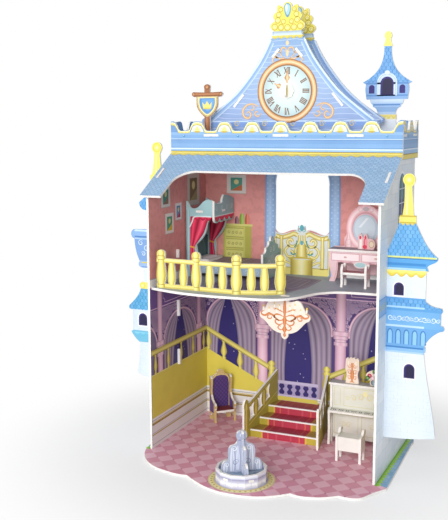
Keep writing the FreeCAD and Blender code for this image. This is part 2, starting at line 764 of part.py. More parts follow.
# The bed
bed_left = -inner + 2.0
bed_right = bed_left + bed_length
bed_back = back_inner - bed_gap
bed_front = bed_back - bed_width
bed_top = first_floor_top + 16.0
canopy_right = bed_left + 33.8
canopy_z = first_floor_top + 70.4
mattress_spans = [(bed_front + 12.0, bed_front + 24.0), (bed_back - 20.0, bed_back - 8.0)]


def canopy_tab(kind, grow):
    """The canopy board's tabs through the front, back and side valances."""
    z_span = (canopy_z, canopy_z + board)
    if kind == "front":
        y_span = (bed_front - 0.3, bed_front + board + 1.0)
        return block((bed_left + 12.0, bed_left + 20.0), y_span, z_span, grow)
    if kind == "back":
        y_span = (bed_back - board - 1.0, bed_back + 0.3)
        return block((bed_left + 12.0, bed_left + 20.0), y_span, z_span, grow)
    x_span = (canopy_right - board - 1.0, canopy_right + 0.3)
    return block(x_span, (bed_front + 20.0, bed_front + 28.0), z_span, grow)


def bed_curtain(y, kind):
    """A canopy end: corner post, shaped valance and a tied curtain, all one board."""
    z = first_floor_top
    x = bed_left
    right = canopy_right - board - clearance
    body = cut_out("front", y, board, [
        (x, z), (x, z + 82.6),
        [(x + 2.4, z + 81.0), (x + 5.0, z + 76.0), (x + 9.6, z + 74.6), (x + 15.6, z + 77.4),
                                (x + 21.0, z + 82.6), (x + 26.7, z + 84.6), (right, z + 83.4)],
        (right, z + 66.0),
        [(x + 26.4, z + 61.6), (x + 24.6, z + 55.0), (x + 22.2, z + 47.0), (x + 17.4, z + 40.4),
                            (x + 11.6, z + 35.2)],
        [(x + 12.6, z + 30.0), (x + 12.0, z + 14.0), (x + 11.4, z)]])
    return slotted(body, [canopy_tab(kind, clearance)])


def bed_valance():
    """The valance along the open side of the canopy, with four scallops below."""
    z = first_floor_top
    y0, y1 = bed_front, bed_back
    step = (y1 - y0) / 4
    items = [(y0, z + 64.0), (y0, z + 83.2),
             [(y0 + 5.0, z + 80.6), (y0 + 12.0, z + 79.6), (y0 + 20.0, z + 80.2)],
             [(y0 + 22.0, z + 84.8), (y0 + 25.6, z + 88.6)], [(y0 + 38.0, z + 87.0), (y1, z + 82.4)],
             (y1, z + 64.0)]
    for index in (3, 2, 1, 0):
        right = y0 + (index + 1) * step
        items.append([(right - 0.3 * step, z + 59.4), (right - 0.7 * step, z + 59.4),
                      (right - step, z + 64.0)])
    body = cut_out("side", canopy_right - board, board, items)
    return slotted(body, [canopy_tab("side", clearance)])


def bed_canopy():
    """The flat canopy board inside the valances."""
    plate = block((bed_left + 0.2, canopy_right - board - clearance),
                  (bed_front + board + clearance, bed_back - board - clearance),
                  (canopy_z, canopy_z + board))
    return joined(plate, [canopy_tab(kind, 0) for kind in ("front", "back", "side")])


def bed_end_tab(x, span, grow):
    """A mattress tab through the headboard or the footboard."""
    return block((x, x + board), span, (bed_top - board, bed_top), grow)


def bed_headboard():
    """The headboard against the left wall."""
    z = first_floor_top
    y0, y1 = bed_front + board + clearance, bed_back - board - clearance
    middle = (y0 + y1) / 2
    body = cut_out("side", bed_left, board, [
        (y0, z), (y0, z + 40.0),
        [(y0 + 9.0, z + 44.0), (middle, z + 54.0), (y1 - 9.0, z + 44.0), (y1, z + 40.0)],
        (y1, z)])
    return slotted(body, [bed_end_tab(bed_left, span, clearance) for span in mattress_spans])


def bed_footboard():
    """The stepped footboard with a ball on top."""
    z = first_floor_top
    middle = (bed_front + bed_back) / 2
    right = [
        (0.0, z), (26.4, z), (27.0, z + 28.4), [(22.0, z + 28.8), (18.6, z + 30.4), (18.0, z + 34.6)],
        [(13.0, z + 35.2), (9.6, z + 37.0), (9.0, z + 40.6)], [(6.0, z + 40.4), (3.4, z + 40.6)],
        [(3.8, z + 43.0), (0.0, z + 45.4)]]
    body = cut_out("side", bed_right, board, moved_items(symmetric(right), middle, 0))
    return slotted(body, [bed_end_tab(bed_right, span, clearance) for span in mattress_spans])


def bed_base():
    """The mattress board, creased down at the front and the back."""
    x_span = (bed_left + board, bed_right)
    y0, y1 = bed_front + board + 1.0, bed_back - board - 1.0
    skirt_z = (first_floor_top + 3.4, bed_top)
    plate = block(x_span, (y0, y1), (bed_top - board, bed_top))
    clear_x = (bed_left + board + clearance, bed_right - clearance)
    skirts = [block(clear_x, (y0, y0 + board), skirt_z), block(clear_x, (y1 - board, y1), skirt_z)]
    tabs = [bed_end_tab(x, span, 0) for x in (bed_left, bed_right) for span in mattress_spans]
    return joined(plate, skirts + tabs)


def bed_pillow():
    """A flat pillow with a waved front edge, lying on the mattress."""
    x0 = bed_left + board + 1.5
    y0, y1 = bed_front + 7.0, bed_back - 8.0
    return cut_out("flat", bed_top, board, [
        (x0, y0), [(x0 + 6.0, y0 - 1.2), (x0 + 12.0, y0 + 0.6), (x0 + 20.0, y0)],
        [(x0 + 21.4, (y0 + y1) / 2), (x0 + 20.0, y1)], (x0, y1)])


# The dressing table and its stool
table_left = table_centre - table_width / 2
table_right = table_centre + table_width / 2
table_back = back_inner - table_gap - board
table_front = table_back - table_body_depth
table_under = first_floor_top + table_height - board


def table_leg_front():
    """The right half of the dressing table's front: curved leg, and apron with a drop at the middle."""
    z = first_floor_top
    w = table_width / 2
    return [
        (0.0, z + 15.4), [(4.6, z + 16.2), (7.6, z + 20.0)],
        [(11.0, z + 21.6), (15.0, z + 20.2), (18.6, z + 20.6),
                                                             (24.4, z + 20.2)],
        [(24.6, z + 12.0), (27.6, z)], (33.8, z),
        [(31.4, z + 7.0), (33.0, z + 13.0), (w + 0.5, z + 20.0), (w, z + 26.0)],
        (w, table_under), (0.0, table_under)]


def dressing_table_body():
    """Front and two sides of the dressing table, one folded strip."""
    face = cut_out("front", table_front, board, moved_items(symmetric(table_leg_front()), table_centre, 0))
    sides = []
    for side in (-1, 1):
        x = table_centre + side * (table_width / 2) - (board if side > 0 else 0)
        z = first_floor_top
        sides.append(cut_out("side", x, board, [
            (table_front + board, z + 18.0),
            [(table_front + 6.0, z + 15.0), (table_front + 11.0, z + 12.0),
                                              (table_front + 12.6, z)],
            (table_back, z), (table_back, table_under), (table_front + board, table_under)]))
    return joined(face, sides)


def table_top_tab(grow):
    """The table top's tab through the mirror board."""
    return block((table_centre - 10.0, table_centre + 10.0), (table_back, table_back + board),
                 (table_under, table_under + board), grow)


def dressing_table_top():
    """The top of the dressing table."""
    plate = block((table_left - 1.0, table_right + 1.0), (table_front - 1.0, table_back),
                  (table_under, table_under + board))
    return joined(plate, [table_top_tab(0)])


def dressing_mirror():
    """The back of the dressing table, rising to the framed mirror."""
    z = first_floor_top
    w = table_width / 2
    right = [
        (0.0, z + 6.0), (w - 6.0, z + 6.0), (w - 6.0, z), (w, z), (w, z + 35.4), (22.8, z + 35.4),
        (23.2, z + 45.0),
        [(20.8, z + 48.0), (21.0, z + 55.0), (17.6, z + 62.6), (11.6, z + 69.6)], (10.8, z + 72.2),
        (12.2, z + 76.6), [(8.0, z + 76.2), (6.0, z + 77.6)], (3.4, z + 80.2), (0.0, z + 80.6)]
    body = cut_out("front", table_back, board, moved_items(symmetric(right), table_centre, 0))
    return slotted(body, [table_top_tab(clearance)])


def dressing_bottles():
    """A small row of bottles cut from one board, standing on the table top."""
    z = table_under + board
    x = table_centre - 5.5
    return cut_out("front", table_front + 9.0, board, [
        (x, z), (x, z + 12.2), [(x + 2.5, z + 16.6), (x + 5.0, z + 12.2)], (x + 5.6, z + 12.2),
        [(x + 8.0, z + 16.4), (x + 10.4, z + 12.0)], (x + 10.4, z + 11.0),
        [(x + 16.4, z + 10.0), (x + 18.4, z + 5.6), (x + 16.6, z)]])


stool_left = 59.6
stool_right = 86.8
stool_front = table_front - 31.0
stool_depth = 16.0


def stool_seat_tab(x, grow):
    """The dressing stool seat's tab through one end."""
    return block((x, x + board), (stool_front + 5.0, stool_front + 11.0),
                 (first_floor_top + 13.0, first_floor_top + 13.0 + board), grow)


def dressing_stool_end(x):
    """A scrolled end of the dressing stool."""
    z = first_floor_top
    y = stool_front
    body = cut_out("side", x, board, [
        (y, z), (y + 3.0, z), [(y + 3.0, z + 6.0), (y + 8.0, z + 9.0), (y + stool_depth - 3.0, z + 6.0),
                               (y + stool_depth - 3.0, z)],
        (y + stool_depth, z), [(y + stool_depth - 1.4, z + 6.0), (y + stool_depth - 0.4, z + 14.0),
                               (y + stool_depth - 0.8, z + 20.0), (y + 12.0, z + 23.4)],
        [(y + 8.0, z + 19.4), (y + 4.0, z + 23.4)],
        [(y + 0.8, z + 20.0), (y + 0.4, z + 14.0), (y + 1.4, z + 6.0), (y, z)]])
    return slotted(body, [stool_seat_tab(x, clearance)])


def dressing_stool_seat():
    """The seat of the dressing stool, held between its ends."""
    z = first_floor_top + 13.0
    plate = block((stool_left + board + clearance, stool_right - board - clearance),
                  (stool_front + 1.0, stool_front + stool_depth - 1.0), (z, z + board))
    x_span = (stool_left + board, stool_right - board)
    ends = [block(x_span, (stool_front + 5.0, stool_front + 11.0), (z, z + board))]
    return joined(plate, ends + [stool_seat_tab(stool_left, 0), stool_seat_tab(stool_right - board, 0)])


# The armchair, drawn about its own centre and turned into the corner
chair_x = -88.1
chair_y = back_inner - 20.9
chair_width = 26.0
chair_depth = 18.0


def chair_at(shape):
    """Move an armchair piece from its own centre to its place."""
    return turned(shape, 45, chair_x, chair_y)


def chair_seat_tab(side, grow):
    """The seat's tab through one side of the armchair."""
    x = side * chair_width / 2 - (board if side > 0 else 0)
    return block((x, x + board), (-5.0, 3.0), (14.0, 14.0 + board), grow)


def armchair_back():
    """The tall back of the armchair with a carved crest."""
    w = chair_width / 2 - board - clearance
    z = floor_top
    right = [
        (0.0, z + 8.0), (w - 3.0, z + 8.0), (w - 3.0, z), (w, z), (w, z + 45.0), (w - 0.8, z + 49.6),
        (w - 3.0, z + 52.0),
        [(5.4, z + 52.6), (3.6, z + 56.0), (0.0, z + 57.6)]]
    return chair_at(cut_out("front", chair_depth / 2 - board, board, symmetric(right)))


def armchair_side(side):
    """A winged side of the armchair."""
    x = side * chair_width / 2 - (board if side > 0 else 0)
    z = floor_top
    y0, y1 = -chair_depth / 2, chair_depth / 2
    body = cut_out("side", x, board, [
        (y0, z), (y0 + 2.4, z),
        [(y0 + 4.0, z + 7.0), (0.0, z + 9.4), (y1 - 4.0, z + 7.0), (y1 - 2.4, z)], (y1, z),
        (y1, z + 51.0),
        [(y1 - 5.0, z + 49.0), (y1 - 5.6, z + 42.0), (y1 - 3.6, z + 34.0), (y1 - 6.4, z + 27.0),
                         (y0 + 2.0, z + 22.4)],
        [(y0 - 0.8, z + 19.0), (y0 + 1.0, z + 15.0)], [(y0 + 1.4, z + 7.0), (y0, z)]])
    return chair_at(slotted(body, [chair_seat_tab(side, clearance)]))


def armchair_seat():
    """The seat board of the armchair."""
    w = chair_width / 2 - board
    z = 14.0
    y_span = (-chair_depth / 2 - 0.6, chair_depth / 2 - board - clearance)
    plate = block((-w + clearance, w - clearance), y_span,
                  (z, z + board))
    link = block((-w, w), (-5.0, 3.0), (z, z + board))
    return chair_at(joined(plate, [link, chair_seat_tab(-1, 0), chair_seat_tab(1, 0)]))


# The upright piano and its stool
piano_right = piano_left + piano_width
piano_front = back_inner - piano_gap - 19.0
shelf_z = 37.4
piano_top = 66.0


def piano_tab(kind, x, grow):
    """Tabs of the shelf and the two panels through a side of the piano."""
    x_span = (x, x + board)
    if kind == "shelf":
        return block(x_span, (piano_front + 2.0, piano_front + 7.0), (shelf_z, shelf_z + board), grow)
    if kind == "upper":
        return block(x_span, (piano_front + 8.0, piano_front + 8.0 + board), (48.0, 58.0), grow)
    return block(x_span, (piano_front + 10.6, piano_front + 10.6 + board), (14.0, 24.0), grow)


def piano_side(x):
    """A side of the piano: slim leg under the shelf, upright behind it."""
    y = piano_front
    z = floor_top
    body = cut_out("side", x, board, [
        (y - 0.6, z), (y + 2.2, z), [(y + 1.6, z + 14.0), (y + 4.0, z + 26.0), (y + 8.6, z + 30.0)],
        (y + 8.6, z),
        (y + 18.0, z), (y + 18.0, piano_top), (y + 7.0, piano_top), (y + 7.0, shelf_z + 4.4),
        [(y + 3.0, shelf_z + 3.6), (y - 0.6, shelf_z + 2.2)], (y - 0.6, shelf_z - 3.0),
        [(y + 0.6, z + 16.0), (y - 0.6, z)]])
    return slotted(body, [piano_tab(kind, x, clearance) for kind in ("shelf", "upper", "lower")])


def piano_panel(kind, x_low, x_high, y_span, z_span):
    """A board between the piano's sides, with its two tabs."""
    clear = board + clearance
    plate = block((x_low + clear, x_high - clear), y_span, z_span)
    tabs = []
    for x, link in ((x_low, (x_low, x_low + clear + 1)), (x_high - board, (x_high - clear - 1, x_high))):
        tab = piano_tab(kind, x, 0)
        box = tab.BoundBox
        tabs.append(block(link, (box.YMin, box.YMax), (box.ZMin, box.ZMax)))
    return joined(plate, tabs)


def piano_shelf():
    """The keyboard shelf."""
    return piano_panel("shelf", piano_left, piano_right, (piano_front - 0.6, piano_front + 8.0 - clearance),
                       (shelf_z, shelf_z + board))


def piano_upper_panel():
    """The decorated panel above the keys."""
    y = piano_front + 8.0
    return piano_panel("upper", piano_left, piano_right, (y, y + board), (shelf_z, piano_top))


def piano_lower_panel():
    """The plain panel below the keys."""
    y = piano_front + 10.6
    return piano_panel("lower", piano_left, piano_right, (y, y + board), (floor_top + 5.0, shelf_z))


def piano_lid():
    """The flat lid."""
    return block((piano_left - 1.2, piano_right + 1.2), (piano_front + 6.0, piano_front + 19.0),
                 (piano_top, piano_top + board))


def piano_ornament():
    """The tall ornament on the lid, with a crowned top edge."""
    z = piano_top + board
    x = piano_left + 15.6
    top = [(x + 14.0, z + 26.0), (x + 12.4, z + 27.6), (x + 10.6, z + 26.2), (x + 8.8, z + 28.4),
           (x + 7.0, z + 27.0),
           (x + 5.2, z + 28.4), (x + 3.4, z + 26.2), (x + 1.6, z + 27.6), (x, z + 26.0)]
    return cut_out("front", piano_front + 11.0, board, [
        (x, z), (x + 14.0, z), (x + 14.0, z + 4.0), [(x + 13.0, z + 9.0), (x + 14.6, z + 15.0)]] + top +
        [(x - 0.6, z + 15.0), [(x + 1.0, z + 9.0), (x, z + 4.0)]])


def piano_flowers():
    """A low vase of flowers cut from one board, on the lid."""
    z = piano_top + board
    x = piano_left + 47.0
    right = [(0.0, z), (4.0, z), [(5.4, z + 3.0), (3.4, z + 6.0)],
             [(8.6, z + 6.8), (9.6, z + 11.0), (6.4, z + 14.6),
                                                                  (0.0, z + 16.6)]]
    return cut_out("front", piano_front + 11.0, board, moved_items(symmetric(right), x, 0))


piano_stool_left = 67.8
piano_stool_right = 94.2
piano_stool_front = piano_front - 43.5


def piano_stool_tab(x, grow):
    """The stool seat's tab through one end."""
    return block((x, x + board), (piano_stool_front + 5.0, piano_stool_front + 11.0),
                 (stool_seat_height - board, stool_seat_height), grow)


def piano_stool_end(x):
    """An end of the piano stool, with a scroll above the seat."""
    y = piano_stool_front
    z = floor_top
    body = cut_out("side", x, board, [
        (y, z), (y + 3.4, z),
        [(y + 4.0, z + 8.0), (y + 8.0, z + 11.0), (y + 12.0, z + 8.0), (y + 12.6, z)], (y + 16.0, z),
        (y + 16.0, z + 26.0),
        [(y + 16.8, z + 30.4), (y + 12.4, z + 32.0), (y + 8.0, z + 27.6), (y + 3.6, z + 27.0),
                               (y, z + 25.6)]])
    return slotted(body, [piano_stool_tab(x, clearance)])


def piano_stool_seat():
    """Seat and two aprons of the piano stool, one folded board."""
    y = piano_stool_front
    x_span = (piano_stool_left + board + clearance, piano_stool_right - board - clearance)
    z_top = stool_seat_height
    plate = block(x_span, (y + 0.6, y + 15.4), (z_top - board, z_top))
    aprons = [block(x_span, (y + 0.6, y + 0.6 + board), (z_top - 14.4, z_top)),
              block(x_span, (y + 15.4 - board, y + 15.4), (z_top - 14.4, z_top))]
    link = block((piano_stool_left, piano_stool_right), (y + 5.0, y + 11.0), (z_top - board, z_top))
    return joined(plate, aprons + [link])


# The fountain
fountain_y = front + fountain_depth
fountain_sides = 12
water_top = floor_top + 8.6


def ring_points(radius, turn=0.0):
    """The corners of the fountain's twelve-sided outline."""
    points = []
    for index in range(fountain_sides):
        angle = math.radians(360.0 / fountain_sides * index + turn)
        points.append((fountain_x + radius * math.cos(angle), fountain_y + radius * math.sin(angle)))
    return points


def water_tab(facet, grow):
    """A tab of the water board through one side of the basin."""
    flat = fountain_radius * math.cos(math.pi / fountain_sides)
    tab = block((flat - board - 1.0, flat + 0.3), (-2.6, 2.6), (water_top - board, water_top), grow)
    return turned(tab, 360.0 / fountain_sides * (facet + 0.5), fountain_x, fountain_y)


water_facets = (8, 10, 2, 4)


def fountain_basin():
    """The folded wall of the basin."""
    outer = cut_out("flat", floor_top, fountain_wall, ring_points(fountain_radius))
    shrink = fountain_radius - board / math.cos(math.pi / fountain_sides)
    hollow = cut_out("flat", floor_top - 1, fountain_wall + 2, ring_points(shrink))
    return slotted(outer.cut(hollow), [water_tab(facet, clearance) for facet in water_facets])


def fountain_water():
    """The water board inside the basin, slotted for the crossed boards."""
    shrink = fountain_radius - (board + clearance) / math.cos(math.pi / fountain_sides)
    plate = cut_out("flat", water_top - board, board, ring_points(shrink))
    plate = joined(plate, [water_tab(facet, 0) for facet in water_facets])
    return slotted(plate, [jet_tab(angle, side, clearance) for angle in (40, -50) for side in (-1, 1)])


def jet_tab(angle, side, grow):
    """A foot tab of a crossed board, down through the water board."""
    near = 6.0 if side > 0 else -11.0
    tab = block((near, near + 5.0), (-board / 2, board / 2), (water_top - board, water_top), grow)
    return turned(tab, angle, fountain_x, fountain_y)


def fountain_jet(angle, reach, lower):
    """One of the two crossed boards: three tiers of falling water with a finial, halved at the middle."""
    z = water_top
    right = [
        (0.0, z), (reach, z),
        [(reach - 0.4, z + 6.0), (reach - 2.6, z + 10.6), (reach - 7.4, z + 11.6)],
        (reach - 7.2, z + 13.0),
        [(reach - 7.2, z + 20.0), (reach - 9.0, z + 25.6), (reach - 13.0, z + 26.8)],
        [(5.2, z + 28.6), (4.0, z + 31.6)], [(5.2, z + 35.0), (4.0, z + 39.0), (0.0, z + 40.2)]]
    body = cut_out("front", -board / 2, board, symmetric(right))
    gap = board / 2 + clearance
    middle = z + 20.0
    if lower:
        body = body.cut(block((-gap, gap), (-board, board), (z - 1, middle + clearance)))
    else:
        body = body.cut(block((-gap, gap), (-board, board), (middle, z + 60)))
    body = turned(body, angle, fountain_x, fountain_y)
    return joined(body, [jet_tab(angle, side, 0) for side in (-1, 1)])


def base_plate():
    """The base plate with a slot for every tab that stands in it."""
    plate = cut_out("flat", 0, board, base_outline())
    slots = []
    through = (-1, board + 1)
    for side in (-1, 1):
        slots += [block(side_x(side, 0, 0), span, through, clearance) for span in wall_foot_spans]
        slots.append(stair_side_tab(side, clearance))
    slots += [block(span, (back_inner, back_outer), through, clearance) for span in back_foot_spans]
    return slotted(plate, slots)


def gable_front():
    """The clock gable, slotted at its middle for the peg."""
    return slotted(gable(gable_front_y, 95.0), [clock_peg_tab(clearance)])


nodes = {
    "base_plate": base_plate(),
    "left_wall": side_wall(-1),
    "right_wall": side_wall(1),
    "back_wall": back_wall(),
    "first_floor": first_floor(),
    "front_roof": front_roof(),
    "left_parapet": side_parapet(-1),
    "right_parapet": side_parapet(1),
    "back_parapet": back_parapet(),
    "roof_deck": roof_deck(),
    "clock_gable": gable_front(),
    "rear_gable": gable(gable_rear_y, 92.0),
    "gable_roof_left": gable_roof(-1),
    "gable_roof_right": gable_roof(1),
    "clock_boss": clock_boss(),
    "clock_peg": clock_peg(),
    "pennant": pennant(),
    "roof_spire": roof_spire(),
    "right_tower": right_tower(),
    "left_tower": left_tower(),
    "balcony_balustrade": balcony_balustrade(),
    "chandelier": chandelier(),
    "stair_flight": stair_flight(),
    "stair_side_left": stair_side(-1),
    "stair_side_right": stair_side(1),
    "bed_curtain_front": bed_curtain(bed_front, "front"),
    "bed_curtain_back": bed_curtain(bed_back - board, "back"),
    "bed_valance": bed_valance(),
    "bed_canopy": bed_canopy(),
    "bed_headboard": bed_headboard(),
    "bed_footboard": bed_footboard(),
    "bed_base": bed_base(),
    "bed_pillow": bed_pillow(),
    "dressing_table_body": dressing_table_body(),
    "dressing_table_top": dressing_table_top(),
    "dressing_mirror": dressing_mirror(),
    "dressing_bottles": dressing_bottles(),
    "dressing_stool_left_end": dressing_stool_end(stool_left),
    "dressing_stool_right_end": dressing_stool_end(stool_right - board),
    "dressing_stool_seat": dressing_stool_seat(),
    "armchair_back": armchair_back(),
    "armchair_left_side": armchair_side(-1),
    "armchair_right_side": armchair_side(1),
    "armchair_seat": armchair_seat(),
    "piano_left_side": piano_side(piano_left),
    "piano_right_side": piano_side(piano_right - board),
    "piano_shelf": piano_shelf(),
    "piano_upper_panel": piano_upper_panel(),
    "piano_lower_panel": piano_lower_panel(),
    "piano_lid": piano_lid(),
    "piano_ornament": piano_ornament(),
    "piano_flowers": piano_flowers(),
    "piano_stool_left_end": piano_stool_end(piano_stool_left),
    "piano_stool_right_end": piano_stool_end(piano_stool_right - board),
    "piano_stool_seat": piano_stool_seat(),
    "fountain_basin": fountain_basin(),
    "fountain_water": fountain_water(),
    "fountain_jet_wide": fountain_jet(40, 20.5, True),
    "fountain_jet_cross": fountain_jet(-50, 19.0, False),
}

for name, shape in nodes.items():
    shape.exportStep(os.path.join("parts", name + ".step"))
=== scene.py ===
import math

import bpy
import numpy as np
from mathutils import Euler, Matrix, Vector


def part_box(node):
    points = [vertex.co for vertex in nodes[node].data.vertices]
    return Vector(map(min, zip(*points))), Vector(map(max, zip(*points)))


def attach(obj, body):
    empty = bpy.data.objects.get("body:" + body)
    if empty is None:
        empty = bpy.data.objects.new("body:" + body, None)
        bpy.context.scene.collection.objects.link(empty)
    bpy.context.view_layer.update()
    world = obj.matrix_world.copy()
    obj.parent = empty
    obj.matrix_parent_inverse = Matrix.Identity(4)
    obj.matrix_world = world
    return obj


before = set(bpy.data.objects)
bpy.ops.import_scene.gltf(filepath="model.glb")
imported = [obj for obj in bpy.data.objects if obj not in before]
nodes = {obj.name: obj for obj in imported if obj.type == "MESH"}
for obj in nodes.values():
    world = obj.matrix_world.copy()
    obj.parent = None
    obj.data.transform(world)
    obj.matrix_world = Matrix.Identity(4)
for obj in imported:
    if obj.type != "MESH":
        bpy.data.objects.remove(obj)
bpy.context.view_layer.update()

# Sizes are in millimetres, and heights are above the underside of the base plate.
# Depths are measured from the front edges of the side walls.
MM = 0.001
wall_low, wall_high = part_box("left_wall")
front = wall_low.y / MM
floor_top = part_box("base_plate")[1].z / MM
upper_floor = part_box("first_floor")[1].z / MM
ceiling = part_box("first_floor")[0].z / MM
inner = -wall_high.x / MM
outer = round(-wall_low.x / MM, 3)
wall_depth = round(wall_high.y / MM - front, 3)
fold_depth = 63.5
fold_height = 309.0
skirt_slope = math.atan2(40.1, 70.1)
tile_width = 4.7
tile_height = 2.9
window_middle = -1.3
spire_middle = 91.6
clock_centre = (0.0, 371.9)
fountain_x = -0.5
fountain_depth = -37.0
wall_print_depth = 135.4
roof_reach = 124.0
crest_pitch = 31.0
parapet_start = 66.2

# Printed colours, as six-digit codes
WHITE = "f3f2f0"
STONE = "d9e2ec"
SALMON = "de9690"
SKIRTING = "f0efec"
GOLD = "d9c264"
DARK_GOLD = "a88f3a"
SHADE_YELLOW = "cdb84c"
PALE_BLUE = "b9d6f2"
NIGHT = "322a72"
DARK_NIGHT = "1f1a40"
PURPLE = "765a96"
DARK_PURPLE = "54407a"
LACE = "f0d0e6"
COLUMN = "ecc0d4"
COLUMN_LIGHT = "f4d6e2"
COLUMN_DARK = "b98aa6"
CURTAIN_DARK = "75637f"
CURTAIN_LIGHT = "b4a4b8"
DADO = "e2d35a"
DARK_COPPER = "96602f"
RED = "d2244e"
DARK_RED = "8e1834"
PINK = "f0cdd0"
DARK_PINK = "c98f98"


def tint(code):
    """A six-digit colour code as linear red, green and blue."""
    parts = np.array([int(code[start:start + 2], 16) / 255 for start in (0, 2, 4)])
    return np.where(parts <= 0.04045, parts / 12.92, ((parts + 0.055) / 1.055) ** 2.4)


def between(first, second, share):
    """A colour code part of the way from one code to another."""
    parts = [(int(first[i:i + 2], 16), int(second[i:i + 2], 16)) for i in (0, 2, 4)]
    return "".join(f"{round(a + (b - a) * share):02x}" for a, b in parts)


# Shader groups

def new_group(name, inputs, outputs):
    """A shader node group with its named sockets, and the sockets of its input and output nodes."""
    tree = bpy.data.node_groups.new(name, "ShaderNodeTree")
    for label, kind in inputs:
        tree.interface.new_socket(name=label, in_out="INPUT", socket_type=kind)
    for label, kind in outputs:
        tree.interface.new_socket(name=label, in_out="OUTPUT", socket_type=kind)
    return tree, tree.nodes.new("NodeGroupInput").outputs, tree.nodes.new("NodeGroupOutput").inputs


def sums(tree):
    """A function that adds one maths node to a tree and returns its result."""
    def work(operation, first, second=None, third=None):
        node = tree.nodes.new("ShaderNodeMath")
        node.operation = operation
        for socket, value in zip(node.inputs, (first, second, third)):
            if value is None:
                continue
            if isinstance(value, (int, float)):
                socket.default_value = value
            else:
                tree.links.new(value, socket)
        return node.outputs[0]
    return work


def make_courses():
    """Rows of bricks or tiles: every second row is shifted by half, joints follow the row's rounded foot,
    and each brick gets its own random tone."""
    tree, given, result = new_group(
        "courses",
        [(label, "NodeSocketFloat") for label in ("Across", "Up", "Width", "Height", "Joint", "Round")],
        [("Line", "NodeSocketFloat"), ("Tone", "NodeSocketFloat")])
    work = sums(tree)
    level = work("DIVIDE", given["Up"], given["Height"])
    half_row = work("MULTIPLY", work("FLOORED_MODULO", work("FLOOR", level), 2.0), 0.5)
    place = work("SUBTRACT", work("FRACT", work("ADD", work("DIVIDE", given["Across"], given["Width"]),
                                                half_row)), 0.5)
    arch = work("MULTIPLY", work("MULTIPLY", place, place), given["Round"])
    lifted = work("SUBTRACT", level, arch)
    row = work("FLOOR", lifted)
    shift = work("MULTIPLY", work("FLOORED_MODULO", row, 2.0), 0.5)
    along = work("ADD", work("DIVIDE", given["Across"], given["Width"]), shift)
    side = work("SUBTRACT", 0.5, work("ABSOLUTE", work("SUBTRACT", work("FRACT", along), 0.5)))
    foot = work("FRACT", lifted)
    side_line = work("LESS_THAN", work("MULTIPLY", side, given["Width"]), given["Joint"])
    foot_line = work("LESS_THAN", work("MULTIPLY", foot, given["Height"]), given["Joint"])
    tree.links.new(work("MAXIMUM", side_line, foot_line), result["Line"])
    chance = tree.nodes.new("ShaderNodeTexWhiteNoise")
    chance.noise_dimensions = "2D"
    pair = tree.nodes.new("ShaderNodeCombineXYZ")
    tree.links.new(work("FLOOR", along), pair.inputs[0])
    tree.links.new(row, pair.inputs[1])
    tree.links.new(pair.outputs[0], chance.inputs["Vector"])
    tree.links.new(chance.outputs["Value"], result["Tone"])
    return tree


def make_card_stock():
    """Printed card: faint blotches and fibre on the print, and layered white fibre where it is cut."""
    tree, given, result = new_group(
        "card stock",
        [("Print", "NodeSocketColor"), ("Face", "NodeSocketFloat"), ("Place", "NodeSocketVector")],
        [("Colour", "NodeSocketColor"), ("Roughness", "NodeSocketFloat"), ("Height", "NodeSocketFloat")])
    work = sums(tree)

    def noise(scale, detail):
        node = tree.nodes.new("ShaderNodeTexNoise")
        node.inputs["Scale"].default_value = scale
        node.inputs["Detail"].default_value = detail
        tree.links.new(given["Place"], node.inputs["Vector"])
        return node.outputs["Fac"]

    blotch = work("MULTIPLY_ADD", noise(55.0, 3.0), 0.16, 0.92)
    fibre = noise(1400.0, 2.0)
    printed = tree.nodes.new("ShaderNodeVectorMath")
    printed.operation = "SCALE"
    tree.links.new(given["Print"], printed.inputs[0])
    tree.links.new(work("MULTIPLY", blotch, work("MULTIPLY_ADD", fibre, 0.10, 0.95)),
                   printed.inputs["Scale"])
    edge = tree.nodes.new("ShaderNodeMix")
    edge.data_type = "RGBA"
    edge.inputs["A"].default_value = (*tint("f6f4f0"), 1)
    edge.inputs["B"].default_value = (*tint("dedad2"), 1)
    tree.links.new(work("GREATER_THAN", noise(2600.0, 1.0), 0.56), edge.inputs["Factor"])
    whole = tree.nodes.new("ShaderNodeMix")
    whole.data_type = "RGBA"
    tree.links.new(given["Face"], whole.inputs["Factor"])
    tree.links.new(edge.outputs["Result"], whole.inputs["A"])
    tree.links.new(printed.outputs[0], whole.inputs["B"])
    tree.links.new(whole.outputs["Result"], result["Colour"])
    tree.links.new(work("MULTIPLY_ADD", given["Face"], -0.30, work("MULTIPLY_ADD", fibre, 0.1, 0.75)),
                   result["Roughness"])
    tree.links.new(fibre, result["Height"])
    return tree


COURSES = make_courses()
CARD_STOCK = make_card_stock()


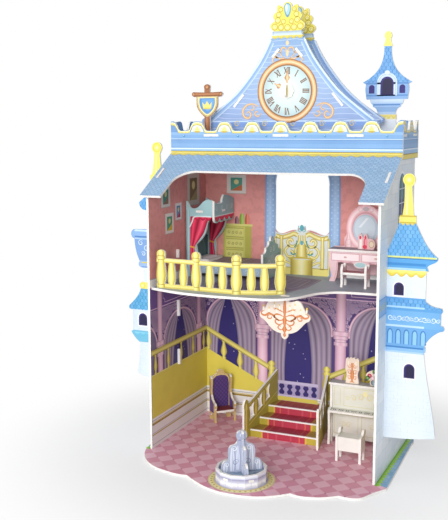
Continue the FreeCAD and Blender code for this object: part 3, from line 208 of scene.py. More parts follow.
class Wiring:
    """One material, and short ways to add and join its nodes."""

    def __init__(self, name):
        self.material = bpy.data.materials.new(name)
        self.material.use_nodes = True
        self.tree = self.material.node_tree
        self.shader = self.tree.nodes["Principled BSDF"]
        source = self.tree.nodes.new("ShaderNodeTexCoord")
        self.place = source.outputs["Object"]
        self.normal = source.outputs["Normal"]
        self.work = sums(self.tree)
        parts = self.tree.nodes.new("ShaderNodeSeparateXYZ")
        self.tree.links.new(self.place, parts.inputs[0])
        self.x = self.work("MULTIPLY", parts.outputs[0], 1000.0)
        self.y = self.work("MULTIPLY", parts.outputs[1], 1000.0)
        self.z = self.work("MULTIPLY", parts.outputs[2], 1000.0)

    def dot(self, direction):
        """How far the surface faces one way, from -1 to 1."""
        node = self.tree.nodes.new("ShaderNodeVectorMath")
        node.operation = "DOT_PRODUCT"
        self.tree.links.new(self.normal, node.inputs[0])
        node.inputs[1].default_value = direction
        return node.outputs["Value"]

    def facing(self, directions, limit):
        """1 on faces square to one of the directions, on either side, and 0 on the cut edges."""
        best = 0.0
        for direction in directions:
            best = self.work("MAXIMUM", self.work("ABSOLUTE", self.dot(direction)), best)
        return self.work("GREATER_THAN", best, limit)

    def colour(self, code):
        """A plain colour as a socket."""
        node = self.tree.nodes.new("ShaderNodeRGB")
        node.outputs[0].default_value = (*tint(code), 1)
        return node.outputs[0]

    def mix(self, share, first, second):
        """The first colour where share is 0, and the second where it is 1. Colours are codes or sockets."""
        node = self.tree.nodes.new("ShaderNodeMix")
        node.data_type = "RGBA"
        for socket, value in ((node.inputs["Factor"], share), (node.inputs["A"], first),
                              (node.inputs["B"], second)):
            if isinstance(value, str):
                socket.default_value = (*tint(value), 1)
            elif isinstance(value, (int, float)):
                socket.default_value = value
            else:
                self.tree.links.new(value, socket)
        return node.outputs["Result"]

    def within(self, value, low, high):
        """1 where a value lies between two limits."""
        return self.work("MULTIPLY", self.work("GREATER_THAN", value, low),
                         self.work("LESS_THAN", value, high))

    def ramp(self, value, stops, soft=False):
        """Colours by value: each stop holds from its own value up to the next, or blends to it."""
        low, high = stops[0][0], stops[-1][0] + 1.0
        node = self.tree.nodes.new("ShaderNodeValToRGB")
        node.color_ramp.interpolation = "LINEAR" if soft else "CONSTANT"
        share = self.work("DIVIDE", self.work("SUBTRACT", value, low), high - low)
        self.tree.links.new(share, node.inputs[0])
        marks = node.color_ramp.elements
        while len(marks) < len(stops):
            marks.new(1.0)
        for mark, (position, code) in zip(marks, stops):
            mark.position = (position - low) / (high - low)
            mark.color = (*tint(code), 1)
        return node.outputs[0]

    def noise(self, scale, detail=2.0):
        """Smooth noise over the object, from 0 to 1."""
        node = self.tree.nodes.new("ShaderNodeTexNoise")
        node.inputs["Scale"].default_value = scale
        node.inputs["Detail"].default_value = detail
        self.tree.links.new(self.place, node.inputs["Vector"])
        return node.outputs["Fac"]

    def courses(self, across, up, width, height, joint, rounded=0.0):
        """The joint lines and random tones of rows of bricks or tiles."""
        node = self.tree.nodes.new("ShaderNodeGroup")
        node.node_tree = COURSES
        for label, value in (("Across", across), ("Up", up)):
            self.tree.links.new(value, node.inputs[label])
        for label, value in (("Width", width), ("Height", height), ("Joint", joint), ("Round", rounded)):
            node.inputs[label].default_value = value
        return node.outputs["Line"], node.outputs["Tone"]

    def bricks(self, base, line, light, across, up, width, height, joint, rounded=0.0):
        """A base colour with some bricks lighter, and the joints in a line colour."""
        lines, tone = self.courses(across, up, width, height, joint, rounded)
        toned = self.mix(self.work("MULTIPLY", tone, 0.8), base, light)
        return self.mix(self.work("MULTIPLY", lines, 0.7), toned, line)

    def finish(self, colour, face):
        """Join the print, the cut edges and the paper's fibre to the shader."""
        node = self.tree.nodes.new("ShaderNodeGroup")
        node.node_tree = CARD_STOCK
        self.tree.links.new(colour, node.inputs["Print"])
        self.tree.links.new(self.place, node.inputs["Place"])
        if isinstance(face, (int, float)):
            node.inputs["Face"].default_value = face
        else:
            self.tree.links.new(face, node.inputs["Face"])
        bump = self.tree.nodes.new("ShaderNodeBump")
        bump.inputs["Strength"].default_value = 0.12
        bump.inputs["Distance"].default_value = 0.0002
        self.tree.links.new(node.outputs["Height"], bump.inputs["Height"])
        self.tree.links.new(node.outputs["Colour"], self.shader.inputs["Base Color"])
        self.tree.links.new(node.outputs["Roughness"], self.shader.inputs["Roughness"])
        self.tree.links.new(bump.outputs["Normal"], self.shader.inputs["Normal"])
        self.shader.inputs["Specular IOR Level"].default_value = 0.35
        return self.material


ACROSS = (1.0, 0.0, 0.0)
DEEP = (0.0, 1.0, 0.0)
UP = (0.0, 0.0, 1.0)


def card(name, printed, directions, limit=0.9):
    """A board's material: the print covers faces square to the directions, and cut edges stay white."""
    wire = Wiring(name)
    return wire.finish(printed(wire), wire.facing(directions, limit))


def plain_card(name, code, directions, limit=0.9):
    """Card printed in one soft colour that drifts a little."""
    def printed(wire):
        return wire.mix(wire.noise(28.0), between(code, "000000", 0.10), between(code, "ffffff", 0.08))
    return card(name, printed, directions, limit)


def dress(material, *names):
    """Give CAD nodes a material."""
    for name in names:
        nodes[name].material_slots[0].material = material


def make_ink():
    """The ink of the printed shapes: each point's own colour, on the same paper."""
    wire = Wiring("printed_ink")
    source = wire.tree.nodes.new("ShaderNodeAttribute")
    source.attribute_name = "print"
    return wire.finish(source.outputs["Color"], 1.0)


INK = make_ink()


# Flat outlines and paths, as arrays of points

def smooth(points, count=24):
    """A Catmull-Rom curve through the points."""
    held = np.array(points, float)
    held = np.vstack([2 * held[0] - held[1], held, 2 * held[-1] - held[-2]])
    t = np.linspace(0, len(points) - 1, count)
    index = np.minimum(t.astype(int), len(points) - 2)
    f = (t - index)[:, None]
    a, b, c, d = (held[index + step] for step in range(4))
    bend = (2 * a - 5 * b + 4 * c - d) * f ** 2 + (3 * b - a - 3 * c + d) * f ** 3
    return 0.5 * (2 * b + (c - a) * f + bend)


def run(*points):
    """Straight stretches between the points."""
    return np.array(points, float)


def oval(cx, cy, rx, ry, start=0.0, end=360.0, count=40):
    """Points on an ellipse, between two angles in degrees."""
    angle = np.radians(np.linspace(start, end, count))
    return np.stack([cx + rx * np.cos(angle), cy + ry * np.sin(angle)], 1)


def spiral(cx, cy, radius, turns, start, hand=1, count=28):
    """A path that winds inward: its radius shrinks evenly to a sixth while its angle turns."""
    t = np.linspace(0, 1, count)
    angle = np.radians(start) + hand * 2 * math.pi * turns * t
    r = radius * (1 - 0.83 * t)
    return np.stack([cx + r * np.cos(angle), cy + r * np.sin(angle)], 1)


def edges(path, width):
    """A ribbon's two edges: the path moved half the width to each side along its normal."""
    step = np.gradient(path, axis=0)
    length = np.maximum(np.linalg.norm(step, axis=1), 1e-9)[:, None]
    normal = np.stack([-step[:, 1], step[:, 0]], 1) / length
    half = normal * np.broadcast_to(np.asarray(width, float), (len(path),))[:, None] / 2
    return path + half, path - half


def arch(left, right, foot, spring, rise):
    """An arched opening: straight sides to the spring, then half an ellipse."""
    top = oval((left + right) / 2, spring, (right - left) / 2, rise, 0, 180, 25)
    return np.vstack([[[left, foot], [right, foot]], top])


class Print:
    """The printed shapes on one face of a board, gathered into one thin skin just above the card."""

    def __init__(self, name, node, origin, across, up, out):
        self.name = name
        self.node = node
        self.origin, self.across, self.up, self.out = (
            np.array(vector, float) for vector in (origin, across, up, out))
        self.turn = np.dot(np.cross(self.across, self.up), self.out) > 0
        self.points, self.inks, self.faces = [], [], []
        self.count = 0

    def add(self, flat, colours, faces, level):
        """Place flat points on the board, a little higher for each level."""
        lift = 0.05 + 0.035 * level
        flat = np.asarray(flat, float)
        placed = self.origin + flat[:, :1] * self.across + flat[:, 1:2] * self.up + lift * self.out
        self.points.append(placed * MM)
        self.inks.append(np.broadcast_to(colours, (len(flat), 3)))
        self.faces += [[self.count + i for i in face] for face in faces]
        self.count += len(flat)

    def patch(self, outline, code, level=0):
        """One flat shape of one colour."""
        flat = np.asarray(outline, float)
        area = np.sum(flat[:, 0] * np.roll(flat[:, 1], -1) - flat[:, 1] * np.roll(flat[:, 0], -1))
        order = range(len(flat)) if (area > 0) == self.turn else range(len(flat) - 1, -1, -1)
        self.add(flat, tint(code), [list(order)], level)

    def box(self, left, right, low, high, code, level=0):
        """A rectangle."""
        self.patch([(left, low), (right, low), (right, high), (left, high)], code, level)

    def loft(self, first, second, codes, level=0):
        """A grid from one edge to the other, with the colours spread across it."""
        share = np.linspace(0, 1, len(codes))[:, None, None]
        grid = first[None] * (1 - share) + second[None] * share
        columns, rows = grid.shape[:2]
        inks = np.repeat(np.array([tint(code) for code in codes])[:, None], rows, 1)
        corner = (np.arange(columns - 1)[:, None] * rows + np.arange(rows - 1)).ravel()
        quads = np.stack([corner, corner + rows, corner + rows + 1, corner + 1], 1)
        a, b, c = (grid.reshape(-1, 2)[quads[:, i]] for i in (0, 1, 2))
        area = np.sum((b - a)[:, 0] * (c - b)[:, 1] - (b - a)[:, 1] * (c - b)[:, 0])
        if (area > 0) != self.turn:
            quads = quads[:, ::-1]
        self.add(grid.reshape(-1, 2), inks.reshape(-1, 3), quads.tolist(), level)

    def stroke(self, path, width, codes, level=1, taper=False):
        """A ribbon along a path, thinner at both ends where it tapers."""
        if taper:
            width = width * (0.25 + 0.75 * np.sin(np.linspace(0.15, math.pi - 0.1, len(path))))
        codes = [codes, codes] if isinstance(codes, str) else codes
        self.loft(*edges(path, width), codes, level)

    def ring(self, cx, cy, outer, inner, codes, level=0, squash=1.0):
        """A flat ring, coloured from its outside in."""
        self.loft(oval(cx, cy, outer, outer * squash), oval(cx, cy, inner, inner * squash), codes, level)

    def turned(self, cx, low, high, profile, codes, level=1):
        """A turned post: half widths by height share, mirrored about its axis."""
        shape = smooth([(half, low + (high - low) * share) for share, half in profile], 30)
        left = np.stack([cx - shape[:, 0], shape[:, 1]], 1)
        right = np.stack([cx + shape[:, 0], shape[:, 1]], 1)
        self.loft(left, right, codes, level)

    def scallops(self, left, right, top, pitch, band, drop, codes, level=1):
        """A band whose lower edge hangs in rounded bites."""
        u = np.linspace(left, right, max(int((right - left) / pitch * 10), 8))
        lower = top - band - drop * np.abs(np.sin(math.pi * (u - left) / pitch))
        self.loft(np.stack([u, np.full_like(u, top)], 1), np.stack([u, lower], 1), codes, level)

    def curl(self, cx, cy, size, start, hand, codes, level=1, width=None):
        """One scroll with a tapering stem."""
        path = spiral(cx, cy, size, 1.35, start, hand)
        self.stroke(path, size * 0.28 if width is None else width, codes, level, taper=True)

    def pair(self, middle, reach, v, size, codes, level=1, width=None, hand=1):
        """Two scrolls, one on each side of an upright line. With hand -1 they wind the other way."""
        for side in (-1, 1):
            self.curl(middle + side * reach, v, size, 90 - side * hand * 90, side * hand, codes, level,
                      width)

    def vines(self, middle, points, width, codes, level=1, taper=False, count=26):
        """A ribbon through the points, and its mirror image about an upright line."""
        for side in (-1, 1):
            self.stroke(smooth([(middle + side * u, v) for u, v in points], count), width, codes, level,
                        taper)

    def post(self, left, right, low, high, codes, level=1):
        """A rectangle with its colours spread from left to right."""
        self.loft(run((left, low), (left, high)), run((right, low), (right, high)), codes, level)

    def bar(self, left, right, low, high, codes, level=0):
        """A rectangle with its colours spread from its foot to its top."""
        self.loft(run((left, low), (right, low)), run((left, high), (right, high)), codes, level)

    def window(self, left, right, foot, top, level=1, rim=WHITE):
        """A small printed arched window with a pale rim."""
        rise = (right - left) * 0.5
        self.patch(arch(left - 1.1, right + 1.1, foot - 1.1, top - rise, rise + 1.3), rim, level)
        self.patch(arch(left, right, foot, top - rise, rise), NIGHT, level + 1)
        self.patch(arch(left + 1.6, right - 0.8, foot + 0.6, top - rise, rise * 0.75), DARK_NIGHT,
                   level + 2)

    def build(self):
        """Make the skin's mesh, and let it ride with the castle."""
        mesh = bpy.data.meshes.new(self.name)
        mesh.from_pydata(np.vstack(self.points).tolist(), [], self.faces)
        layer = mesh.attributes.new("print", "FLOAT_COLOR", "POINT")
        inks = np.hstack([np.vstack(self.inks), np.ones((self.count, 1))])
        layer.data.foreach_set("color", inks.ravel().astype(np.float32))
        mesh.materials.append(INK)
        piece = bpy.data.objects.new(self.name, mesh)
        bpy.context.scene.collection.objects.link(piece)
        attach(piece, "root")
        return piece


def on(node, side, label="print"):
    """A print on one side of a board. Side faces count depth from the walls' front edges."""
    low, high = (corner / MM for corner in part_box(node))
    plans = {
        "front": ((0, low.y, 0), ACROSS, UP, (0, -1, 0)),
        "back": ((0, high.y, 0), ACROSS, UP, (0, 1, 0)),
        "left": ((low.x, front, 0), DEEP, UP, (-1, 0, 0)),
        "right": ((high.x, front, 0), DEEP, UP, (1, 0, 0)),
        "top": ((0, front, high.z), ACROSS, DEEP, (0, 0, 1)),
    }
    return Print(f"{node}_{side}_{label}", node, *plans[side])


# The rooms' walls

def filigree(page, area, keep, size, code, level):
    """A field of small scrolls on a staggered lattice, where the test says there is room."""
    left, right, low, high = area
    rows = np.arange(low + size, high - size * 0.5, size * 1.75)
    for row, v in enumerate(rows):
        for column, u in enumerate(np.arange(left + size + (row % 2) * size * 0.9, right - size * 0.5,
                                             size * 1.9)):
            if keep(u, v):
                hand = 1 if (row + column) % 2 else -1
                page.curl(u, v, size * 0.95, 90 * ((row + column) % 4), hand, code, level, width=0.75)


def night_arch(page, left, right, foot, spring, rise, lean=0.0):
    """An arched night window between two drawn curtains, with a pale moulding round it."""
    middle = (left + right) / 2 + lean
    reach = (right - left) / 2
    page.patch(arch(left, right, foot, spring, rise), NIGHT, 1)
    top = spring + rise
    head = oval((left + right) / 2, spring, reach, rise, 180, 96, 14)
    left_outer = np.vstack([smooth([(left, foot), (left, (foot + spring) / 2), (left, spring - 2)], 12),
                            head])
    left_inner = smooth([(middle - reach * 0.42, foot), (middle - reach * 0.44, spring * 0.5 + foot * 0.5),
                         (middle - reach * 0.33, spring), (middle - reach * 0.08, top)], len(left_outer))
    folds = [CURTAIN_DARK, CURTAIN_LIGHT, CURTAIN_DARK, CURTAIN_LIGHT, "8a7a96", CURTAIN_LIGHT,
             CURTAIN_DARK, "b0a3ba", CURTAIN_DARK]
    page.loft(left_outer, left_inner, folds, 2)
    page.loft(left_outer * [-1, 1] + [left + right, 0], left_inner * [-1, 1] + [2 * middle, 0], folds, 2)
    moulding = np.vstack([[(left, spring - 4)], oval((left + right) / 2, spring, reach, rise, 180, 0, 40),
                          [(right, spring - 4)]])
    page.stroke(moulding, 2.6, [COLUMN_DARK, COLUMN_LIGHT, COLUMN_DARK], 4)
    page.stroke(moulding + [0, 1.9], 0.7, DARK_PURPLE, 3)
    rng = np.random.default_rng(7)
    for u, v in zip(rng.uniform(middle - reach * 0.3, middle + reach * 0.3, 12),
                    rng.uniform(foot + 3, top - 12, 12)):
        page.patch(oval(u, v, 0.5, 0.5, count=6), "efecfb", 2)


def pink_column(page, centre, foot, capital, top, half=6.2):
    """A pink column with a moulded capital, and a flat pilaster above it."""
    shades = [COLUMN_DARK, COLUMN, COLUMN_LIGHT, COLUMN, COLUMN_DARK]
    if top > capital:
        page.post(centre - half * 0.9, centre + half * 0.9, capital, top, shades, 5)
    page.post(centre - half, centre + half, foot, capital - 10, shades, 5)
    for low, high, share in ((-16, -12, 1.25), (-12, -9, 1.05), (-9, -5, 1.3), (-5, 0, 1.6)):
        left, right = centre - half * share, centre + half * share
        page.post(left, right, capital + low, capital + high,
                  [COLUMN_DARK, COLUMN_LIGHT, COLUMN, COLUMN_LIGHT, COLUMN_DARK], 6)
        page.box(left, right, capital + high - 0.5, capital + high, COLUMN_DARK, 7)


def frieze(page, left, right, low, high, panels):
    """The purple band over the arches, with pale outlined panels."""
    page.box(left, right, low, high, PURPLE, 1)
    page.box(left, right, low, low + 1.0, LACE, 2)
    for start, end in panels:
        inset = min(4.0, (end - start) / 4)
        outline = run((start + inset, low + 4), (end - inset, low + 4), (end - inset, low + 7),
                      (end, low + 9), (end, high - 3), (start, high - 3), (start, low + 9),
                      (start + inset, low + 7), (start + inset, low + 4))
        page.stroke(outline, 0.7, LACE, 2)


BALUSTER = [(0.0, 2.6), (0.08, 2.8), (0.12, 1.6), (0.35, 3.9), (0.6, 3.0), (0.86, 1.5), (0.92, 2.4),
            (1.0, 2.4)]
OLIVE = ["a39636", "e0d264", "f2e88c", "d6c656", "a09234"]


def printed_rail(page, start, end, uprights):
    """A printed stair rail with balusters between it and the dado's edge."""
    path = run(start, end)
    for u, low, high in uprights:
        page.turned(u, low, high, BALUSTER, OLIVE, 11)
    page.stroke(path, 6.0, ["b4a642", "ece082", "cfc05c"], 12)
    page.stroke(path + [0, -2.6], 0.6, "857a30", 13)


def skirting(page, left, right, low, high):
    """The white skirting with gold lines under the dado."""
    page.box(left, right, low, high, SKIRTING, 9)
    tall = high - low
    for share, thick, code in ((0.92, 0.9, "b9b9c0"), (0.80, 2.2, DARK_GOLD), (0.86, 0.8, GOLD),
                               (0.50, 0.7, "b4b4bc"), (0.44, 1.6, "c3b473"), (0.12, 0.7, "b4b4bc")):
        page.box(left, right, low + tall * share - thick / 2, low + tall * share + thick / 2, code,
                 10 + (thick < 1))


def lower_back_print():
    """The ballroom wall: three night arches, pink columns, the sloping dado and the lilac balustrade."""
    page = on("back_wall", "front", "ballroom")
    top = ceiling - 0.2
    arches = ((-inner + 0.3, -55.4, -4.0), (-37.4, 34.6, -3.0), (54.2, inner - 0.3, 3.0))
    for left, right, lean in arches:
        night_arch(page, left, right, 34, 111, 32, lean)
    frieze(page, -inner, inner, 149.5, top, ((-108, -56), (-36, 34), (52, 108)))

    def in_spandrel(u, v):
        for left, right, _ in arches:
            half = (right - left) / 2
            off = abs(u - (left + right) / 2)
            if off < half + 1 and v < 113 + 32 * math.sqrt(max(0, 1 - (off / (half + 2)) ** 2)):
                return False
        return True

    filigree(page, (-inner, inner, 106, 151), in_spandrel, 2.3, LACE, 3)
    for centre in (-47.4, 44.6):
        pink_column(page, centre, 34, 114, top)
    page.patch([(-inner, 33), (-36, 33), (-40, 43), (-inner, 80)], DADO, 8)
    page.patch([(26, 33), (inner, 33), (inner, 84), (36, 42)], DADO, 8)
    skirting(page, -inner, -28, floor_top, 34)
    skirting(page, 19, inner, floor_top, 34)
    printed_rail(page, (-inner, 103.5), (-37, 63.8),
                 [(-115, 79, 101), (-95.6, 69, 91), (-75.2, 59, 81), (-55.2, 49, 71)])
    printed_rail(page, (31, 60.8), (inner, 104.5),
                 [(50.5, 49, 69), (70.8, 60, 79.5), (91, 70, 90), (110, 80, 99)])
    page.box(-28, 19, 28, 32.6, "d6c95a", 6)
    page.box(-28, 19, floor_top, 28, "b8b2a0", 5)
    page.box(-28.5, 19.5, 32.6, 51, "a79cc4", 6)
    page.box(-28.5, 19.5, 47.6, 51, "c4bad8", 7)
    page.box(-28.5, 19.5, 32.6, 34.6, "c4bad8", 7)
    for index in range(5):
        centre = -23.6 + index * 9.6
        page.turned(centre, 35.2, 47.2, [(0, 2.2), (0.25, 3.3), (0.5, 1.5), (0.75, 3.3), (1, 2.2)],
                    ["3a2f62", NIGHT, "3a2f62"], 8)
    for centre in (-36, 29.5):
        page.turned(centre, 36, 73, [(0, 5.0), (0.1, 5.2), (0.16, 3.6), (0.4, 5.2), (0.68, 3.2),
                                     (0.74, 4.4), (0.8, 4.4), (0.83, 2.6), (0.9, 4.6), (0.98, 2.4),
                                     (1.0, 0.3)], OLIVE, 14)
    page.build()


def lower_side_print(node, side):
    """The ballroom's side walls: a night arch, half an arch, columns, rail, dado and skirting."""
    page = on(node, side, "ballroom")
    depth = wall_print_depth
    top = ceiling - 0.2
    night_arch(page, 28.5, 106.5, 60, 108, 32)
    left = oval(-24, 108, 38, 32, 49, 0, 20)
    page.stroke(np.vstack([left, [(14, 104)]]), 2.6, [COLUMN_DARK, COLUMN_LIGHT, COLUMN_DARK], 4)
    page.patch(np.vstack([[(0.3, 80), (13, 80), (13, 108)], oval(-24, 108, 37, 31, 0, 49, 12),
                          [(0.3, 131.5)]]),
               "7e7090", 2)
    frieze(page, 0.3, depth, 149.5, top, ((28, 106),))

    def in_spandrel(u, v):
        over = 111 + 31 * math.sqrt(max(0, 1 - ((u - 67.5) / 41) ** 2)) if 26 < u < 109 else 104
        ahead = 108 + 32 * math.sqrt(max(0, 1 - ((u + 24) / 40) ** 2)) if u < 16 else 0
        return v > max(over, ahead)

    filigree(page, (0.3, depth, 104, 151), in_spandrel, 2.3, LACE, 3)
    pink_column(page, 20.4, 60, 114, top, 5.8)
    pink_column(page, 114.2, 60, 114, top, 5.8)
    page.box(0.3, depth, 33, 81, DADO, 8)
    page.box(0.3, depth, 80, 81.2, "ece28e", 9)
    skirting(page, 0.3, depth, floor_top, 34.5)
    printed_rail(page, (0.3, 104.6), (depth, 104.6),
                 [(9, 81, 102), (38, 81, 102), (68.4, 81, 102), (98, 81, 102), (126, 81, 102)])
    page.build()


def picture(page, left, right, low, high, mount, field, spot):
    """A framed field of colour with two plain shapes in it."""
    page.box(left, right, low, high, mount, 1)
    wide, tall = right - left, high - low
    a, b, c, d = left + wide * 0.2, right - wide * 0.2, low + tall * 0.16, high - tall * 0.16
    page.box(a, b, c, d, field, 2)
    page.patch([(a, c), (b, c), (b, c + tall * 0.34), (a + wide * 0.22, c + tall * 0.12)], spot, 3)
    page.patch(oval((a + b) / 2, (c + d) / 2 + tall * 0.12, wide * 0.13, tall * 0.13, count=16), "d8cf92",
               4)
    page.box(left, right, low, low + 0.7, "b7b3b0", 2)


def upper_back_print():
    """The bedroom wall: the window's tiled surround, the gate, the chest of drawers and a picture."""
    page = on("back_wall", "front", "bedroom")
    page.box(-inner, inner, upper_floor, 183, SKIRTING, 1)
    page.box(-inner, inner, 182.4, 183.4, "b4b4b8", 2)
    surround = np.vstack([smooth([(-38.4, upper_floor), (-38.6, 230), (-38.2, 276)], 12),
                          oval(-1.4, 276, 37, 35, 180, 0, 40),
                          smooth([(35.6, 276), (36.0, 230), (35.8, upper_floor)], 12)])
    page.stroke(surround, 12.6, ["6f94c8", "9fbfe2", "a9c6e6", "94b6de", "86a8d4"], 3)
    inner_line = (surround - [-1.4, 230]) * [0.845, 0.93] + [-1.4, 230]
    page.stroke(inner_line[12:52], 1.0, PALE_BLUE, 5)
    for side in (-1, 1):
        for row in range(17):
            for column in (-1, 0, 1):
                u = window_middle + side * (37.2 + column * 3.3)
                page.patch(oval(u, 180 + row * 6.1 + (column % 2) * 3, 0.9, 0.9, count=7), "b4cfee", 5)
    picture(page, -91.2, -67.8, 261.5, 283, "d9d3cc", "4f9a86", "c07048")
    chest_print(page)
    gate_print(page)
    page.build()


def chest_print(page):
    """The chest of drawers, with its drawers' scrolls and the things on top."""
    left, right, top = -97.3, -59.7, 227.5
    page.box(left + 1.5, right - 1.5, upper_floor, top, "b3b052", 4)
    page.box(left, right, top - 2.4, top, "d6d37c", 5)
    page.box(left + 3, right - 9, upper_floor, top - 3, "c5c266", 5)
    for row in range(4):
        low = top - 15.2 - row * 12.4
        page.box(left + 5, right - 11, low, low + 10.4, "d2cf78", 6)
        page.box(left + 5, right - 11, low, low + 0.6, "8c8a3a", 7)
        page.box(left + 5, right - 11, low + 9.9, low + 10.4, "8c8a3a", 7)
        for index in range(4):
            page.curl(left + 8.6 + index * 4.8, low + 5.2, 1.9, 180 * (index % 2), 1, "8a8840", 7,
                      width=0.6)
    for u, half, tall, code in ((-79, 2.2, 8.5, "7c4a5a"), (-72.6, 3.0, 12, "8fae3e"),
                                (-66.2, 2.4, 11.4, "d86a4a")):
        page.turned(u, top, top + tall, [(0, half), (0.4, half * 1.1), (0.75, half * 0.9), (1, half * 0.5)],
                    [between(code, "000000", 0.3), code, between(code, "ffffff", 0.3), code], 5)


def gate_print(page):
    """The yellow gate: rails, posts, a round centre panel and paired scrolls, with pale gaps between."""
    shades = ["b49c3e", "e8d878", "faf4b6", "dccb68", "a8923a"]
    left, right = -32.3, 29.8
    page.patch(np.vstack([[(left, upper_floor), (right, upper_floor), (right, 221)],
                          smooth([(right, 221), (22, 218.6), (12, 221), (2, 224), (-1.3, 224.6),
                                  (-4.6, 224), (-15, 221), (-25, 218.6), (left, 221)], 30)]), "dde3de", 6)
    for width, level, points in (
            (5.0, 8, [(30.4, 216.4), (23, 214.8), (15, 217.0), (9, 219.4), (5, 217.6)]),
            (2.4, 8, [(31.0, upper_floor + 1), (31.0, 200), (30.8, 216)]),
            (2.6, 9, [(10, 183.6), (14.4, 186.4), (20.6, 188.6), (22.4, 185.4), (20.0, 183.6)]),
            (3.4, 9, [(2.4, 218), (3.4, 210.4), (9, 205.4), (15.2, 206.6), (16.2, 211.4), (12.4, 213.0),
                      (10.6, 210.4)]),
            (3.0, 9, [(14.6, 206), (19.4, 200.6), (16.4, 194.0), (10.6, 194.6), (10.4, 199.2),
                      (13.4, 200.4)]),
            (2.6, 9, [(4.6, 206), (7.6, 200.6), (5.4, 194.4)]),
            (2.4, 9, [(9.4, 191.6), (13.0, 189.6), (16.4, 192.0)])):
        page.vines(window_middle, points, width, shades, level)
    page.vines(window_middle, [(6.6, 197.4), (10.0, 196.4), (13.0, 198.2)], 1.4, "3f9a96", 11)
    page.vines(window_middle, [(8.8, 204.2), (6.0, 208.2), (5.6, 212.0)], 1.3, "3f9a96", 11)
    page.vines(window_middle, [(1.4, 221.6), (4.2, 223.4), (3.6, 228.4)], 1.2, "8fc4c8", 11)
    for side in (-1, 1):
        page.turned(window_middle + side * 23.8, 181, 216,
                    [(0, 2.6), (0.1, 1.9), (0.5, 2.3), (0.9, 1.8), (1, 2.6)], shades, 10)
    page.box(-32, 29.4, upper_floor, 182.2, "ecdf84", 10)
    page.box(-32, 29.4, 181.4, 182.2, "b49c3e", 11)
    page.post(-14.2, 11.4, upper_floor, 191,
              ["a8923a", "d9c864", "f3e795", "fcf6c4", "eade86", "c4b04e", "9e8b38"], 12)
    page.stroke(oval(-1.4, 191, 12.8, 2.2, 0, 180), 2.0, SHADE_YELLOW, 13)
    page.loft(run((-8, 192), (-6, 208)), run((5.4, 192), (3.4, 208)), shades, 10)
    page.patch(oval(window_middle, 226.0, 2.4, 3.6, count=20), "5aaebb", 13)
    page.patch(oval(window_middle, 209.6, 1.7, 2.6, count=20), "5aaebb", 13)


def upper_side_print(node, side):
    """The bedroom's side walls, with their skirting; the left one carries four framed pictures."""
    page = on(node, side, "bedroom")
    page.box(0.3, wall_print_depth, upper_floor, 182, SKIRTING, 1)
    page.box(0.3, wall_print_depth, 181.4, 182.4, "b4b4b8", 2)
    if node == "left_wall":
        picture(page, 27.2, 47.2, 253, 275.4, "d9d6d2", "3f8f7c", "8a6a58")
        picture(page, 58.8, 73.4, 237, 255.6, "e2dedd", "5f86b0", "b03a5a")
        picture(page, 35.6, 54.8, 224.6, 246.4, "e6e2da", "3f9a78", "d8b83c")
        picture(page, 88, 118.4, 250, 286, "cfc8be", "7d6f52", "a89a70")
    else:
        picture(page, 40, 62, 240, 266, "e2dedd", "5f86b0", "c07048")
        picture(page, 84, 102, 232, 252, "e6e2da", "3f9a78", "d8b83c")
    page.build()


def room_card(name, toward, directions):
    """A wall's card: ballroom purple below, bedroom salmon above, and pale stone outside."""
    def printed(wire):
        inside = wire.ramp(wire.z, [(0.0, DARK_PURPLE), (172.8, SALMON), (330.0, SALMON)])
        damask = wire.work("MULTIPLY", wire.work("GREATER_THAN", wire.noise(160.0, 3.0), 0.53), 0.22)
        papered = wire.mix(wire.work("MULTIPLY", damask, wire.work("GREATER_THAN", wire.z, 172.8)),
                           inside, "b87672")
        across = wire.work("ADD", wire.x, wire.y)
        outside = wire.bricks(STONE, "c3ccd8", "eef3f7", across, wire.z, 26.0, 13.0, 0.35)
        return wire.mix(wire.work("GREATER_THAN", wire.dot(toward), 0.5), outside, papered)
    return card(name, printed, directions)


def outer_wall_print(node, side, windows, reach):
    """The castle's outside: a blue band of small squares, and arched windows with sills."""
    page = on(node, side, "outside")
    left, right = reach
    page.box(left, right, 160, 181, "9dbfe3", 1)
    for low, high, code in ((179, 181, "c9def2"), (160, 162, "c9def2"), (162, 163, "6f9cce"),
                            (178, 179, "6f9cce")):
        page.box(left, right, low, high, code, 2)
    for centre in np.arange(left + 6, right - 3, 10.0):
        page.box(centre - 2.4, centre + 2.4, 167.6, 172.6, "dfd28a", 2)
        page.box(centre - 1.2, centre + 1.2, 168.8, 171.4, "8fb0d8", 3)
    for start, end, foot, top in windows:
        rise = (end - start) * 0.55
        page.patch(arch(start - 3.4, end + 3.4, foot - 3.4, top - rise, rise + 3.4), "e9eff5", 1)
        page.patch(arch(start - 1, end + 1, foot - 1, top - rise, rise + 1), "7fa6d4", 2)
        page.patch(arch(start, end, foot, top - rise, rise), "1f5f66", 3)
        page.patch(arch(start, end, foot, (foot + top) / 2, 3), "243060", 4)
        middle = (start + end) / 2
        page.box(middle - 0.6, middle + 0.6, foot, top - 1, "cfdbe8", 5)
        for bar in np.arange(foot + 12, top - 4, 14.0):
            page.box(start, end, bar - 0.5, bar + 0.5, "cfdbe8", 5)
        page.box(start - 5, end + 5, foot - 6, foot - 3.4, "c3cfdf", 2)
    page.build()


# The floors

def floor_card():
    """The upper floor: grey boards above, and a plum ceiling below."""
    def printed(wire):
        boards = wire.bricks("9aa5b2", "8a94a2", "a6b0bc", wire.x, wire.y, 60.0, 9.0, 0.3)
        return wire.mix(wire.work("GREATER_THAN", wire.dot(UP), 0.5), "7a6a8e", boards)
    return card("upper_floor_card", printed, [UP])


